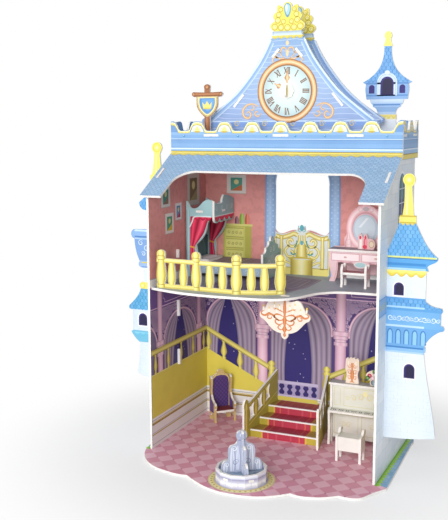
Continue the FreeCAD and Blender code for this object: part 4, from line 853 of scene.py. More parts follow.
def floor_print():
    """The purple rug with its diamond border, on the upper floor."""
    page = on("first_floor", "top", "rug")
    outline = [(-70, 6), (-20, 8), (16, 18), (30, 62), (30, 112), (-24, 128), (-70, 128)]
    page.patch(outline, "716484", 0)
    middle = np.array([-20.0, 66.0])
    for share, width, code in ((0.96, 1.6, "a294b2"), (0.89, 0.9, "8f80a2"), (0.80, 1.3, "a294b2")):
        loop = (np.array(outline + outline[:1], float) - middle) * share + middle
        page.stroke(loop, width, code, 1)
    for u in np.arange(-58, 22, 8.0):
        for v in np.arange(22, 112, 8.0):
            page.patch([(u - 2.6, v), (u, v - 2.6), (u + 2.6, v), (u, v + 2.6)], "84749a", 1)
    page.build()


def base_card():
    """The base: diamonds in two pinks with a dark dot at every second corner, and blue paving outside."""
    def printed(wire):
        pitch = 18.5
        u = wire.work("DIVIDE", wire.work("SUBTRACT", wire.x, 64.5), pitch)
        v = wire.work("DIVIDE", wire.work("SUBTRACT", wire.y, 37.3 + front), pitch)
        first = wire.work("FLOOR", wire.work("ADD", u, v))
        second = wire.work("FLOOR", wire.work("SUBTRACT", u, v))
        dark = wire.work("FLOORED_MODULO", wire.work("ADD", first, second), 2.0)
        tiles = wire.mix(dark, "ecbccb", "dc98ac")
        du = wire.work("SUBTRACT", u, wire.work("ROUND", u))
        dv = wire.work("SUBTRACT", v, wire.work("ROUND", v))
        away = wire.work("SQRT", wire.work("ADD", wire.work("MULTIPLY", du, du),
                                           wire.work("MULTIPLY", dv, dv)))
        spotted = wire.mix(wire.work("LESS_THAN", away, 0.045), tiles, "a8708a")
        outside = wire.work("MAXIMUM", wire.work("GREATER_THAN", wire.x, outer),
                            wire.work("MAXIMUM", wire.work("GREATER_THAN", wire.y, front + wall_depth),
                                      wire.work("LESS_THAN", wire.x, -outer)))
        behind_front = wire.work("GREATER_THAN", wire.work("SUBTRACT", wire.y, wire.work(
            "MULTIPLY", wire.work("SUBTRACT", 124.0, wire.work("ABSOLUTE", wire.x)), 0.4)), front + 1.0)
        paving = wire.bricks("7fa9cc", "5f8ab4", "a4c4de", wire.y, wire.x, 9.0, 4.6, 0.3)
        area = wire.work("MULTIPLY", outside, behind_front)
        top = wire.mix(area, spotted, paving)
        return wire.mix(wire.work("GREATER_THAN", wire.dot(UP), 0.5), "e8e6e2", top)
    return card("base_card", printed, [UP])


def base_print():
    """The gold ring round the fountain, and grass along the foot of the walls."""
    page = on("base_plate", "top", "ground")
    cx, cy = fountain_x, fountain_depth
    page.ring(cx, cy, 32.5, 26.0, ["d8c884", "efe6b8", "e6d894", "d3c27a"], 0)
    for angle in np.radians(np.arange(0, 360, 10)):
        page.patch(oval(cx + 29.2 * math.cos(angle), cy + 29.2 * math.sin(angle), 1.1, 1.1, count=8),
                   "b8a456", 1)
    page.ring(cx, cy, 26.0, 2.0, ["b9b4c8", "cfcbd8"], 0)
    foot = outer + 0.1
    for side in (-1, 1):
        t = np.linspace(-2, wall_depth - 1, 110)
        wave = 4.6 + 1.3 * np.sin(t * 0.9) + 0.9 * np.sin(t * 2.3 + 1)
        page.loft(np.stack([np.full_like(t, side * foot), t], 1), np.stack([side * (foot + wave), t], 1),
                  ["5f9a2e", "8fc23a", "b4d95a"], 1)
    page.build()


# The roof

def parapet_card(name, directions, skirted=False):
    """Blue mouldings by height; the skirt below the fold is covered in small rounded tiles."""
    def printed(wire):
        bands = wire.ramp(wire.z, [
            (300.0, "7ca6d2"), (309.0, "93bbe2"), (313.0, "dfebf6"), (314.2, "6291c4"), (315.4, "7ba5d2"),
            (319.0, "6f9acb"), (322.6, "5682ba"), (323.2, "c4d9ee"), (324.0, "76a2d0"), (328.0, "88b0da"),
            (330.6, "6590c4"), (345.0, "6590c4")])
        shaded = wire.mix(wire.work("MULTIPLY", wire.noise(14.0, 1.0), 0.28), bands, "a9c8ea")
        if not skirted:
            return shaded
        slope = wire.work("DIVIDE", wire.work("SUBTRACT", fold_height, wire.z), math.sin(skirt_slope))
        tiles = wire.bricks("92b2d2", "6a8cb6", "a6c2de", wire.x, slope, tile_width, tile_height, 0.34, 1.1)
        on_skirt = wire.work("GREATER_THAN", wire.work("ABSOLUTE", wire.dot(skirt_out)), 0.95)
        under = wire.work("LESS_THAN", wire.dot(skirt_out), -0.5)
        return wire.mix(on_skirt, shaded, wire.mix(under, tiles, "c9ccd6"))
    return card(name, printed, directions)


skirt_out = (0.0, -math.sin(skirt_slope), math.cos(skirt_slope))


def crest_print(page, centres, limits):
    """Yellow wavy caps with curled ornament on the crests, and a blue stud in the dip between them."""
    left_end, right_end = limits
    u = np.arange(left_end + 0.2, right_end, 0.5)
    off = np.abs(((u - centres[0]) + crest_pitch / 2) % crest_pitch - crest_pitch / 2)
    edge = np.interp(off, [0, 4.6, 7.2, 9.0, 11.5, 16], [341.4, 340.7, 337.2, 333.2, 332.0, 332.0])
    page.loft(np.stack([u, edge - 0.2], 1), np.stack([u, np.maximum(edge - 3.4, 329.6)], 1),
              ["fdf9d6", "f2e89c", "e0d27a", "b9a850"], 2)
    hill = smooth([(-7.4, 331.0), (-5.2, 336.0), (0, 338.4), (5.2, 336.0), (7.4, 331.0)], 20)
    leaf = smooth([(-2.2, 330.4), (-1.8, 334.4), (0, 337.0), (1.8, 334.4), (2.2, 330.4)], 14)
    for centre in centres:
        if centre - 6 < left_end or centre + 6 > right_end:
            continue
        page.patch(hill + [centre, 0], "dfe8ee", 1)
        page.pair(centre, 4.0, 333.0, 2.5, ["c4b04a", "f6eeaa", "c4b04a"], 3)
        page.patch(leaf + [centre, 0], "ecdf86", 3)
        page.patch(oval(centre, 331.0, 3.4, 0.9, count=14), "c4b04a", 4)
    for left, right in zip(centres, centres[1:]):
        middle = (left + right) / 2
        page.patch(oval(middle, 326.8, 1.2, 1.2, count=14), "3f86b8", 2)
        page.patch(oval(middle - 0.3, 327.2, 0.5, 0.5, count=8), "bfe6f0", 3)


def front_roof_print():
    """The front battlement's crests, and the gold line and scallops along the fold."""
    page = on("front_roof", "front", "crests")
    page.origin = np.array([0.0, front + fold_depth, 0.0])
    crest_print(page, [crest_pitch * step for step in range(-4, 5)], (-roof_reach, roof_reach))
    page.box(-roof_reach, roof_reach, 309.2, 311.0, "e2cf62", 2)
    page.box(-roof_reach, roof_reach, 310.6, 311.4, "8a7a34", 3)
    page.build()
    skirt = Print("front_roof_skirt_print", "front_roof", (0, front + fold_depth, fold_height), ACROSS,
                  (0, math.cos(skirt_slope), math.sin(skirt_slope)), skirt_out)
    skirt.scallops(-roof_reach, roof_reach, -0.1, 11.0, 2.0, 2.6, ["d9c65a", "e9da74", "c4ae48"], 1)
    skirt.build()


def parapet_prints():
    """Crests and the gold foot line on the side and back battlements."""
    side_centres = [wall_depth - crest_pitch * step for step in (2, 1, 0)]
    back_centres = [crest_pitch * (step - 3.5) for step in range(8)]
    for node, side, centres, limits in (
            ("left_parapet", "left", side_centres, (parapet_start, wall_depth)),
            ("right_parapet", "right", side_centres, (parapet_start, wall_depth)),
            ("back_parapet", "back", back_centres, (-122, 122))):
        page = on(node, side, "crests")
        crest_print(page, centres, limits)
        page.box(*limits, 304.4, 309.4, "e2cf62", 1)
        page.box(*limits, 308.8, 309.6, "8a7a34", 2)
        page.build()


def gable_card(name):
    """Pale blue boards with wavering light lines, deeper towards the eaves."""
    def printed(wire):
        wander = wire.work("MULTIPLY_ADD", wire.noise(34.0, 1.0), 9.0, wire.z)
        strand = wire.work("FRACT", wire.work("DIVIDE", wander, 5.2))
        lines = wire.work("MULTIPLY", wire.work("LESS_THAN", strand, 0.13), 0.55)
        grown = wire.ramp(wire.z, [(328.0, "8ea6ce"), (345.0, "9bb2d8"), (385.0, "a3bcdc"),
                                   (430.0, "86a8d0")], True)
        spread = wire.work("MULTIPLY", wire.work("ABSOLUTE", wire.x), 0.006)
        boards = wire.mix(lines, wire.mix(spread, grown, "8299c8"), "c9dbf0")
        return wire.mix(wire.work("GREATER_THAN", wire.z, 431.2), boards, "e9dc68")
    return card(name, printed, [DEEP])


gable_edge = [(91, 343.4), (74.5, 355.9), (54.0, 373.2), (35.9, 394.9), (26.3, 409.0), (18.3, 424.4)]


def crown_print(page):
    """The gold crown of rounded lobes with a blue drop jewel, over a collar."""
    page.loft(run((-16.4, 424.6), (16.4, 424.6)), run((-14.4, 431.4), (14.4, 431.4)),
              ["9fb9c8", "cfdfe4", "9fb4c4"], 3)
    page.scallops(-16.6, 16.6, 427.2, 6.64, 1.0, 2.4, ["e6d870", "cdb94e"], 4)
    right_half = [(2.6, 458.0), (4.4, 454.0), (8.6, 455.0), (10.6, 450.8), (14.2, 446.4), (13.2, 441.6),
                  (17.4, 435.6), (14.0, 431.4)]
    left_half = [(-u, v) for u, v in reversed(right_half)]
    page.patch(smooth(left_half + [(0, 458.8)] + right_half, 80), "e9dc68", 3)
    lobes = [(-13.6, 435.6, 3.3), (-6.9, 434.9, 3.3), (0, 434.6, 3.3), (6.9, 434.9, 3.3),
             (13.6, 435.6, 3.3)]
    for u, v, r in ((10.4, 442.0, 3.1), (9.4, 447.4, 2.9), (7.2, 452.4, 2.4), (4.2, 440.6, 2.6)):
        lobes += [(-u, v, r), (u, v, r)]
    for u, v, r in lobes:
        page.ring(u, v, r, r * 0.74, [DARK_GOLD, "d8c650"], 4)
        page.ring(u, v, r * 0.74, 0.2, ["f0e36e", "f8f0a0", "fffbd0"], 4)
        page.curl(u, v - 0.2, r * 0.62, 200, 1, "c4ae3e", 5, width=0.45)
    t = np.linspace(0, 2 * math.pi, 30)
    drop = np.stack([4.6 * np.sin(t) * (0.55 + 0.45 * np.cos(t / 2) ** 2),
                     451.6 - 7.0 * np.cos(t + math.pi)], 1)
    page.patch(drop, "6f9db4", 6)
    page.patch((drop - [0, 451.6]) * 0.76 + [0, 452.2], "a8d0dc", 7)
    page.patch((drop - [0, 451.6]) * [0.3, 0.5] + [-1.1, 453.8], "e8f6fa", 8)


def eaves_print(page):
    """The moulded bands that follow the gable's slopes, and the band along its foot."""
    for side in (-1, 1):
        edge = smooth([(side * u, v) for u, v in gable_edge], 40)
        inward = np.array([-side * 0.62, -0.78])
        page.loft(edge + inward * 0.2, edge + inward * 2.2, ["e3f0fc", "b4d2f2"], 1)
        page.loft(edge + inward * 2.2, edge + inward * 5.4, ["7f9fce", "94b2dc", "a6c2e4"], 1)
        page.loft(edge + inward * 5.4, edge + inward * 6.2, ["cddff2", "bdd3ee"], 1)
    page.box(-84, 84, 336.0, 341.0, "7f9fd6", 2)
    page.box(-84, 84, 341.0, 342.4, "c6dbf6", 2)


NUMERALS = ["XII", "I", "II", "III", "IIII", "V", "VI", "VII", "VIII", "IX", "X", "XI"]
GLYPHS = {"I": (1.5, [[(0, 0), (0, 6.4)], [(-0.7, 0), (0.7, 0)], [(-0.7, 6.4), (0.7, 6.4)]]),
          "V": (3.4, [[(-1.5, 6.4), (0, 0)], [(1.5, 6.4), (0, 0)], [(-2.1, 6.4), (-0.8, 6.4)],
                      [(0.9, 6.4), (2.1, 6.4)]]),
          "X": (3.5, [[(-1.5, 6.4), (1.5, 0)], [(1.5, 6.4), (-1.5, 0)], [(-2.0, 6.4), (-0.8, 6.4)],
                      [(0.8, 0), (2.0, 0)]])}


def numeral(page, text, angle, cx, cy, radius):
    """A Roman numeral standing on the dial with its head outwards."""
    widths = [GLYPHS[letter][0] for letter in text]
    offset = -sum(widths) / 2
    for letter, width in zip(text, widths):
        centre = offset + width / 2
        for index, stroke in enumerate(GLYPHS[letter][1]):
            local = np.array(stroke, float) + [centre, radius]
            placed = np.stack([cx + local[:, 0] * math.cos(angle) + local[:, 1] * math.sin(angle),
                               cy - local[:, 0] * math.sin(angle) + local[:, 1] * math.cos(angle)], 1)
            page.stroke(placed, 0.95 if index == 0 else 0.6, "7d5a44", 6)
        offset += width


def clock_print(page):
    """The copper ring, the pale dial with its numerals, and two leaf-shaped hands at ten o'clock."""
    cx, cy = clock_centre
    page.ring(cx, cy, 32.2, 31.4, ["8a6038", "a87848"], 4)
    page.ring(cx, cy, 31.4, 26.4, ["c08550", "e9bd8a", "f6dcb6", "dba873", "b87c48"], 4)
    page.ring(cx, cy, 26.4, 25.4, ["7d5836", "94704c"], 4)
    page.ring(cx, cy, 25.4, 0.5, ["b9cfd2", "cfe0de", "dbe8e2", "e2ece4"], 4)
    for index, text in enumerate(NUMERALS):
        numeral(page, text, math.radians(30 * index), cx, cy, 17.0)
    for angle, length in ((0.0, 21.5), (-60.0, 16.5)):
        a = math.radians(angle)
        t = np.linspace(0, 1, 30)
        half = 0.6 + 2.1 * np.exp(-((t - 0.62) / 0.12) ** 2) + 1.0 * np.exp(-((t - 0.3) / 0.08) ** 2)
        half[-3:] *= [0.7, 0.4, 0.1]
        along = np.stack([np.sin(a) * t, np.cos(a) * t], 1) * length
        normal = np.array([math.cos(a), -math.sin(a)])
        page.loft(along + half[:, None] * normal + [cx, cy], along - half[:, None] * normal + [cx, cy],
                  [DARK_COPPER, "e8b884", "f6d8ac", "d8a070", DARK_COPPER], 7)


def gable_scrolls(page):
    """Copper scrollwork: a crest over the clock, and a curling branch on each side."""
    for width, count, points in (
            (2.6, 40, [(31, 356.6), (38, 359.4), (44.6, 357.8), (48.6, 352.6), (47.0, 346.6), (42.2, 345.0),
                       (39.6, 348.6), (42.2, 351.6), (44.6, 349.6)]),
            (1.6, 26, [(39.0, 358.6), (36.0, 355.6), (38.4, 352.8), (40.6, 354.6)]),
            (1.8, 26, [(28, 350), (31.6, 346.6), (35.4, 348.8), (33.6, 351.8), (31.6, 350.4)]),
            (1.8, 26, [(0.8, 405.0), (7, 404.2), (13, 406.0), (16.2, 403.0), (13.8, 400.4)]),
            (1.7, 26, [(3.0, 404.6), (7.6, 409.0), (5.4, 415.0), (1.4, 414.0), (2.4, 410.6)]),
            (1.4, 26, [(6.8, 410.4), (11.4, 409.8), (11.8, 405.8), (9.0, 405.8)])):
        page.vines(0, points, width, ["b88450", "f2d4a6", "c8945c"], 3, True, count)
    page.patch(oval(0, 419.6, 1.7, 2.3, count=16), "f0d0a0", 4)
    page.patch(oval(0, 409.6, 1.5, 3.4, count=16), "f0d0a0", 4)
    for centre in crest_pitch * np.arange(-2, 3):
        page.pair(centre, 6.6, 339.0, 3.4, ["c8ac5a", "ecd890", "c8ac5a"], 4)


def gable_prints():
    """Both gables, front and back."""
    page = on("clock_gable", "front")
    eaves_print(page)
    crown_print(page)
    gable_scrolls(page)
    clock_print(page)
    page.build()
    for node, side in (("clock_gable", "back"), ("rear_gable", "front"), ("rear_gable", "back")):
        page = on(node, side)
        eaves_print(page)
        crown_print(page)
        if node == "rear_gable" and side == "back":
            page.window(-9, 9, 350, 384, 2, "e6f0fa")
            gable_scrolls(page)
        page.build()


def tile_card(name, base, line, light, directions):
    """A roof panel covered in small rounded tiles."""
    def printed(wire):
        return wire.bricks(base, line, light, wire.y, wire.z, tile_width, tile_height, 0.3, 1.1)
    return card(name, printed, directions)


# Towers

def tower_card(name, stops, tiled, stone, middle, reach):
    """A tower drawn flat: colours by height, tiles on its roofs, courses of stone, and round shading."""
    def printed(wire):
        bands = wire.ramp(wire.z, stops)
        lines, tone = wire.courses(wire.x, wire.z, 4.4, 3.6, 0.34, 1.2)
        is_tiled = 0.0
        for low, high in tiled:
            is_tiled = wire.work("MAXIMUM", wire.within(wire.z, low, high), is_tiled)
        toned = wire.mix(wire.work("MULTIPLY", wire.work("MULTIPLY", tone, 0.5), is_tiled), bands, "8cc4ee")
        drawn = wire.mix(wire.work("MULTIPLY", wire.work("MULTIPLY", lines, 0.75), is_tiled), toned,
                         "2f6fae")
        joints, chance = wire.courses(wire.x, wire.z, 7.0, 3.2, 0.16, 0.0)
        is_stone = 0.0
        for low, high in stone:
            is_stone = wire.work("MAXIMUM", wire.within(wire.z, low, high), is_stone)
        rare = wire.work("MULTIPLY", joints, wire.work("GREATER_THAN", chance, 0.45))
        drawn = wire.mix(wire.work("MULTIPLY", wire.work("MULTIPLY", rare, 0.5), is_stone), drawn, "b4c4d8")
        offset = wire.work("DIVIDE", wire.work("SUBTRACT", wire.x, middle), reach)
        shade = wire.work("MULTIPLY", wire.work("MULTIPLY", offset, offset), 0.42)
        shaded = wire.mix(shade, drawn, "4f86c0")
        inside = wire.work("MULTIPLY", wire.work("LESS_THAN", wire.work("ABSOLUTE", wire.x), outer + 0.1),
                           wire.work("LESS_THAN", wire.z, 230.0))
        return wire.mix(inside, shaded, "eceae6")
    return card(name, printed, [DEEP])


BALL = ["e0cb4e", "f6e96e", "fffbc4"]


def right_tower_prints():
    """The right tower's windows, gold scallops, scroll band, flutes and turned finial, on both faces."""
    near = outer + 0.2
    for side in ("front", "back"):
        page = on("right_tower", side)
        page.window(138.2, 148.4, 101.4, 115.2)
        page.window(126.9, 136.3, 180.2, 192.4)
        page.scallops(near, 156.2, 203.4, 9.0, 2.2, 3.4, ["f8ec8c", "f0dc5c", "d9bc3c"], 1)
        page.box(near, 165.8, 215.6, 217.4, "d6e08a", 1)
        page.box(near, 165.8, 214.8, 215.7, "2f74b4", 1)
        for low, high, code in ((204.6, 206.4, "a9d4f4"), (208.6, 211, "3f8acb"), (168.4, 170.2, "a8d2f2"),
                                (150.2, 152.2, "bcdcf6"), (125.4, 127.2, "a9cdef"),
                                (130.0, 131.6, "3f7fc0")):
            page.box(near, 156.0, low, high, code, 1)
        for index in range(6):
            centre = 124.4 + index * 8.0
            hand = 1 if index % 2 else -1
            page.curl(centre, 158.8, 3.0, 180 * (index % 2), hand, "e9f5fd", 2, width=0.7)
            page.curl(centre + 4.0, 158.4, 2.3, 90, -hand, "e9f5fd", 2, width=0.6)
        for centre in 124.2 + 7.75 * np.arange(5):
            page.patch(arch(centre - 2.7, centre + 2.7, 134, 143.6, 4.6), "3f7dbd", 1)
            page.patch(arch(centre - 1.7, centre + 1.9, 134, 143.2, 3.8), "8fc4ee", 2)
        page.scallops(131.6, 144.8, 248.6, 4.4, 0.4, 2.0, ["f6ea7c", "cdb644"], 1)
        for low, high in ((248.0, 249.2), (254.0, 255.2)):
            page.box(130.6, 145.8, low, high, "c9b23e", 2)
        page.ring(138.5, 288.0, 4.6, 0.3, BALL, 1)
        page.loft(run((135.6, 256), (137.2, 281)), run((138.2, 256), (138.4, 281)),
                  ["f6ea7c", "fffac0", "f6ea7c"], 1)
        page.build()


def left_tower_prints():
    """The left tower's windows, scrolled bracket, mouldings and balls, on both faces."""
    near = -outer - 0.2
    for side in ("front", "back"):
        page = on("left_tower", side)
        page.window(-165.4, -154.6, 118.4, 132.2)
        page.window(-143, -133, 229.4, 242.6)
        page.window(-147, -136, 142, 158)
        for u, v, r in ((-161, 211, 3.6), (-154, 205, 4.2), (-146, 210, 3.8), (-158, 199, 2.8),
                        (-150, 197, 3.2), (-138, 206, 4.2), (-130, 211, 3.6), (-141, 197, 3.2),
                        (-132, 199, 3.4), (-124.6, 204, 3.0)):
            page.curl(u, v, r, 40 * u, 1 if r > 3.4 else -1, "e2effa", 2, width=0.7)
        for left, low, high, code in (
                (-168.6, 223.4, 225.4, "c2dcf4"), (-168.6, 217.0, 218.4, "4f7fbc"),
                (-168.6, 214.8, 216.4, "a9c9ee"), (-160.6, 188.6, 190.0, "d8c65a"),
                (-160.6, 183.6, 185.0, "6f97cf")):
            page.box(left, near, low, high, code, 1)
        page.scallops(-170.8, near, 110.6, 7.2, 1.4, 3.0, ["8fd0e6", "5fb2d2"], 1)
        page.ring(-159.8, 163.4, 3.2, 0.3, BALL, 2)
        page.ring(-139.4, 314.4, 4.8, 0.3, BALL, 2)
        page.scallops(-147.4, -132.0, 280.8, 5.1, 0.6, 2.2, ["f6ea7c", "cdb644"], 1)
        page.loft(run((-142.0, 288), (-140.8, 308)), run((-139.6, 288), (-139.4, 308)),
                  ["f6ea7c", "fffac0", "f6ea7c"], 1)
        page.build()


def spire_prints():
    """The roof spire's big arched window between two small ones, its mouldings and scallops."""
    for side in ("front", "back"):
        page = on("roof_spire", side)
        c = spire_middle
        page.patch(arch(c - 10.4, c + 10.4, 366.8, 381, 9.4), "cfe0f4", 1)
        page.stroke(arch(c - 9.6, c + 9.6, 367, 380.6, 8.6)[1:], 1.8, ["7fa6d8", "e9f3fc", "8fb2e0"], 2)
        page.patch(arch(c - 6.8, c + 6.8, 368.0, 379.6, 6.6), NIGHT, 3)
        page.patch(arch(c - 4.8, c + 5.6, 368.4, 379.0, 5.4), DARK_NIGHT, 4)
        for side_x in (-1, 1):
            page.patch(arch(c + side_x * 15.8 - 2.9, c + side_x * 15.8 + 2.9, 369.4, 375.4, 2.6), NIGHT, 3)
        page.patch(oval(c, 390.4, 2.6, 2.0, count=14), "dfeaf8", 3)
        for low, high, reach, code in ((366.6, 368.0, 21.4, "5f8fc8"), (378.6, 380.4, 22.0, "5f8fc8"),
                                       (359.6, 361.0, 16.0, "bcd6f2"), (357.2, 358.6, 14.0, "5f8fc8")):
            page.box(c - reach, c + reach, low, high, code, 1)
        page.scallops(c - 10.2, c + 10.2, 348.0, 5.1, 1.6, 2.6, ["f0e08a", "e2cd62"], 1)
        page.build()


def pennant_prints():
    """The pennant: a brown pole and bar, and a blue shield with a gold rim and a plain crown shape."""
    cx = -85.3
    right_half = [(5.6, 350.0), (9.6, 354.8), (11.6, 361), (11.6, 367.4)]
    left_half = [(-u, v) for u, v in reversed(right_half)]
    shield = smooth(left_half + [(0, 346.8)] + right_half, 40)
    inner_shield = (shield - [0, 358]) * [0.76, 0.80] + [cx, 358.4]
    for side in ("front", "back"):
        page = on("pennant", side)
        page.patch(shield + [cx, 0], "e8dca0", 1)
        page.stroke((shield - [0, 358]) * 0.93 + [cx, 358], 0.6, DARK_GOLD, 2)
        page.patch(inner_shield, "5b8fc8", 2)
        page.patch((inner_shield - [cx, 358.4]) * [0.8, 0.75] + [cx + 0.8, 359.2], "6fa3d6", 3)
        page.patch([(cx - 4.6, 355.2), (cx + 4.6, 355.2), (cx + 5.6, 362.0), (cx + 2.7, 358.8), (cx, 363.2),
                    (cx - 2.7, 358.8), (cx - 5.6, 362.0)], "f0dc7c", 4)
        page.box(cx - 4.6, cx + 4.6, 354.6, 356.0, "d8c05a", 5)
        page.bar(cx - 15.6, cx + 15.6, 368.2, 371.8, ["7a4a2c", "b98058", "8a5634"], 5)
        page.post(cx - 2.9, cx + 2.9, 331, 346, ["7a4a2c", "b98058", "a06a44", "7a4a2c"], 1)
        for u, v in ((-15.6, 370), (15.6, 370), (0, 377.4)):
            page.ring(cx + u, v, 2.0 if u else 2.6, 0.2, ["7a4a2c", "b07850", "d6a478"], 6)
        page.build()


# Balcony, chandelier and stair

YELLOWS = ["b9a440", "ecdf78", "fbf4a8", "f3e684", "d6c458", "a8943a"]


def balcony_prints():
    """Round shading on the balustrade's posts and balusters, and lines on its rails, stretch by stretch."""
    corners = [(-112.0, 5.6), (-67.0, 3.8), (-21.5, 0.2), (5.0, 9.6), (21.6, 19.8)]
    uprights = [[("post", 4.9), ("small", 17.0), ("small", 30.5)],
                [("post", 0.0), ("small", 15.6), ("small", 30.0)],
                [("post", 0.0), ("small", 14.4), ("small", 27.4)], [("post", 15.0)]]
    for index, (start, end, row) in enumerate(zip(corners, corners[1:], uprights)):
        length = math.dist(start, end)
        across = ((end[0] - start[0]) / length, (end[1] - start[1]) / length, 0)
        for facing, label in ((1, "front"), (-1, "back")):
            out = (across[1] * facing, -across[0] * facing, 0)
            shift = 0.0 if facing > 0 else 2.4
            origin = (start[0] - across[1] * shift, start[1] + front + across[0] * shift, upper_floor)
            page = Print(f"balcony_print_{index}_{label}", "balcony_balustrade", origin, across, UP, out)
            page.bar(0.2, length - 0.2, 0.3, 4.2, ["c4b048", "f6ea90", "e2d26a"])
            page.bar(0.2, length - 0.2, 26.4, 30.4, ["b9a542", "ecdf7c", "faf3ae", "d8c75e"])
            for kind, u in row:
                if kind == "small":
                    page.turned(u, 4.4, 26.4, [(0, 2.6), (0.3, 4.1), (0.62, 3.5), (1.0, 2.5)], YELLOWS, 1)
                    continue
                reach = [(0, 4.3), (0.09, 4.1), (0.12, 3.6), (0.3, 5.2), (0.5, 4.6), (0.7, 3.6),
                         (0.75, 4.4), (0.83, 4.4)]
                page.turned(u, 0.4, 39.2, reach + [(0.86, 3.2), (0.92, 4.2), (0.98, 2.6), (1.0, 0.4)],
                            YELLOWS, 2)
                for v in (3.6, 29.2, 33.0):
                    page.box(u - 4.1, u + 4.1, v - 0.35, v + 0.35, "a8943a", 3)
            page.build()


def chandelier_print():
    """Copper arms, candles and drops on a cream card, on both faces."""
    shades = ["b5622e", "dc8f58", "b5622e"]
    cx = 24.4
    for face in ("front", "back"):
        page = on("chandelier", face)
        page.turned(cx, 133.6, 171, [(0, 0.4), (0.05, 1.5), (0.12, 0.8), (0.2, 2.4), (0.3, 1.0),
                                     (0.45, 2.2), (0.55, 1.0), (0.75, 1.6), (1.0, 0.8)], shades, 2)
        for width, points in (
                (2.0, [(1, 151), (5, 149.6), (9, 151.4), (12.4, 154.6), (16.8, 155.4), (20.4, 153.6),
                       (23.6, 154.4), (24.4, 156.8), (22.6, 157.2)]),
                (1.5, [(1, 153.6), (5.4, 155.4), (9.6, 155.2), (11.0, 152.6), (9.0, 151.6)]),
                (1.4, [(1, 148), (4.6, 145.6), (8.6, 146.4), (9.6, 149.4), (7.4, 150.4), (6.4, 148.6)]),
                (1.2, [(1, 142), (4.0, 140.4), (6.8, 142.4), (5.6, 144.6), (3.8, 143.6)]),
                (1.1, [(1, 158), (4.6, 159.4), (8.6, 161.2), (11.0, 160.0)]),
                (1.2, [(13, 153.6), (14.4, 150.8), (17.4, 151.2), (17.6, 153.4), (15.8, 153.4)])):
            page.vines(cx, points, width, shades, 1, True)
        for side in (-1, 1):
            for reach, v in ((22.2, 158.4), (16.2, 157.0), (10.6, 161.8), (5.4, 160.4), (8.2, 156.6)):
                u = cx + side * reach
                page.box(u - 0.55, u + 0.55, v, v + 3.4, "fbf4e0", 3)
                page.box(u - 1.2, u + 1.2, v - 0.6, v, "c27840", 4)
                page.patch(oval(u, v + 4.5, 0.5, 1.2, count=10), "f0c850", 4)
        page.build()


def stair_card():
    """The folded steps: a red runner with yellow borders and olive ends."""
    def printed(wire):
        away = wire.work("ABSOLUTE", wire.work("SUBTRACT", wire.x, 0.5))
        strips = wire.ramp(away, [(0.0, "b93a4e"), (7.0, "c4505e"), (9.0, "b93a4e"), (17.0, "cf6450"),
                                  (18.6, "b93a4e"), (24.0, "d8b44a"), (26.0, "b9a83e"),
                                  (50.0, "b9a83e")])
        tread = wire.work("GREATER_THAN", wire.dot(UP), 0.5)
        return wire.mix(wire.work("MULTIPLY", tread, 0.45), strips, "7a2236")
    return card("stair_card", printed, [UP, DEEP])


def stair_prints():
    """White fold lines along the steps' noses."""
    for step in range(3):
        depth = 76.0 + 19.0 * step
        half = 40.5 - 12.0 * (depth - 64.0) / 71.6 - 0.3
        page = Print(f"stair_nose_print_{step}", "stair_flight",
                     (0.5, front + depth, floor_top + 8.4 * (step + 1)),
                     ACROSS, UP, (0, -1, 0))
        page.box(-half, half, -1.5, -0.05, WHITE, 0)
        page.build()
        page = Print(f"stair_tread_print_{step}", "stair_flight",
                     (0.5, front + depth, floor_top + 8.4 * (step + 1)),
                     ACROSS, DEEP, (0, 0, 1))
        page.box(-half + 0.2, half - 0.2, 0.05, 1.3, WHITE, 0)
        page.build()


def stair_side_prints():
    """Rail, balusters and newel printed on the stair's slanting sides."""
    run_depth = 138.0 - 2.4 - 0.12 - 64.0
    angle = math.atan2(12.0, run_depth)
    for side in (-1, 1):
        along = np.array([-side * math.sin(angle), math.cos(angle), 0])
        normal = np.array([math.cos(angle), side * math.sin(angle), 0])
        foot = np.array([0.5 + side * 40.5, front + 64.0, 0.0])
        for facing in (-1, 1):
            shift = 0.0 if side * facing < 0 else 2.4
            origin = foot + normal * side * shift
            node = "stair_side_left" if side < 0 else "stair_side_right"
            page = Print(f"{node}_print_{'in' if side * facing < 0 else 'out'}", node, origin, along, UP,
                         normal * facing)
            page.loft(run((8.8, 36.4), (71.4, 59.4)), run((8.8, 39.2), (71.4, 62.6)),
                      ["8f8432", "dcd070", "a89a44"], 1)
            page.turned(4.2, 3.4, 41.4, [(0, 3.2), (0.1, 3.4), (0.2, 2.4), (0.5, 3.6), (0.75, 2.6),
                                         (0.82, 3.6), (0.9, 3.4), (1, 1.6)], OLIVE, 1)
            for centre in (24.0, 41.0):
                rise = 0.375 * (centre - 8.6)
                page.turned(centre, 17.5 + rise, 35.0 + rise,
                            [(0, 2.0), (0.35, 3.6), (0.7, 2.4), (1, 2.0)], OLIVE, 1)
            page.stroke(run((9.4, 15.6), (70.6, 38.4)), 1.0, "dcd070", 1)
            page.build()


# Furniture

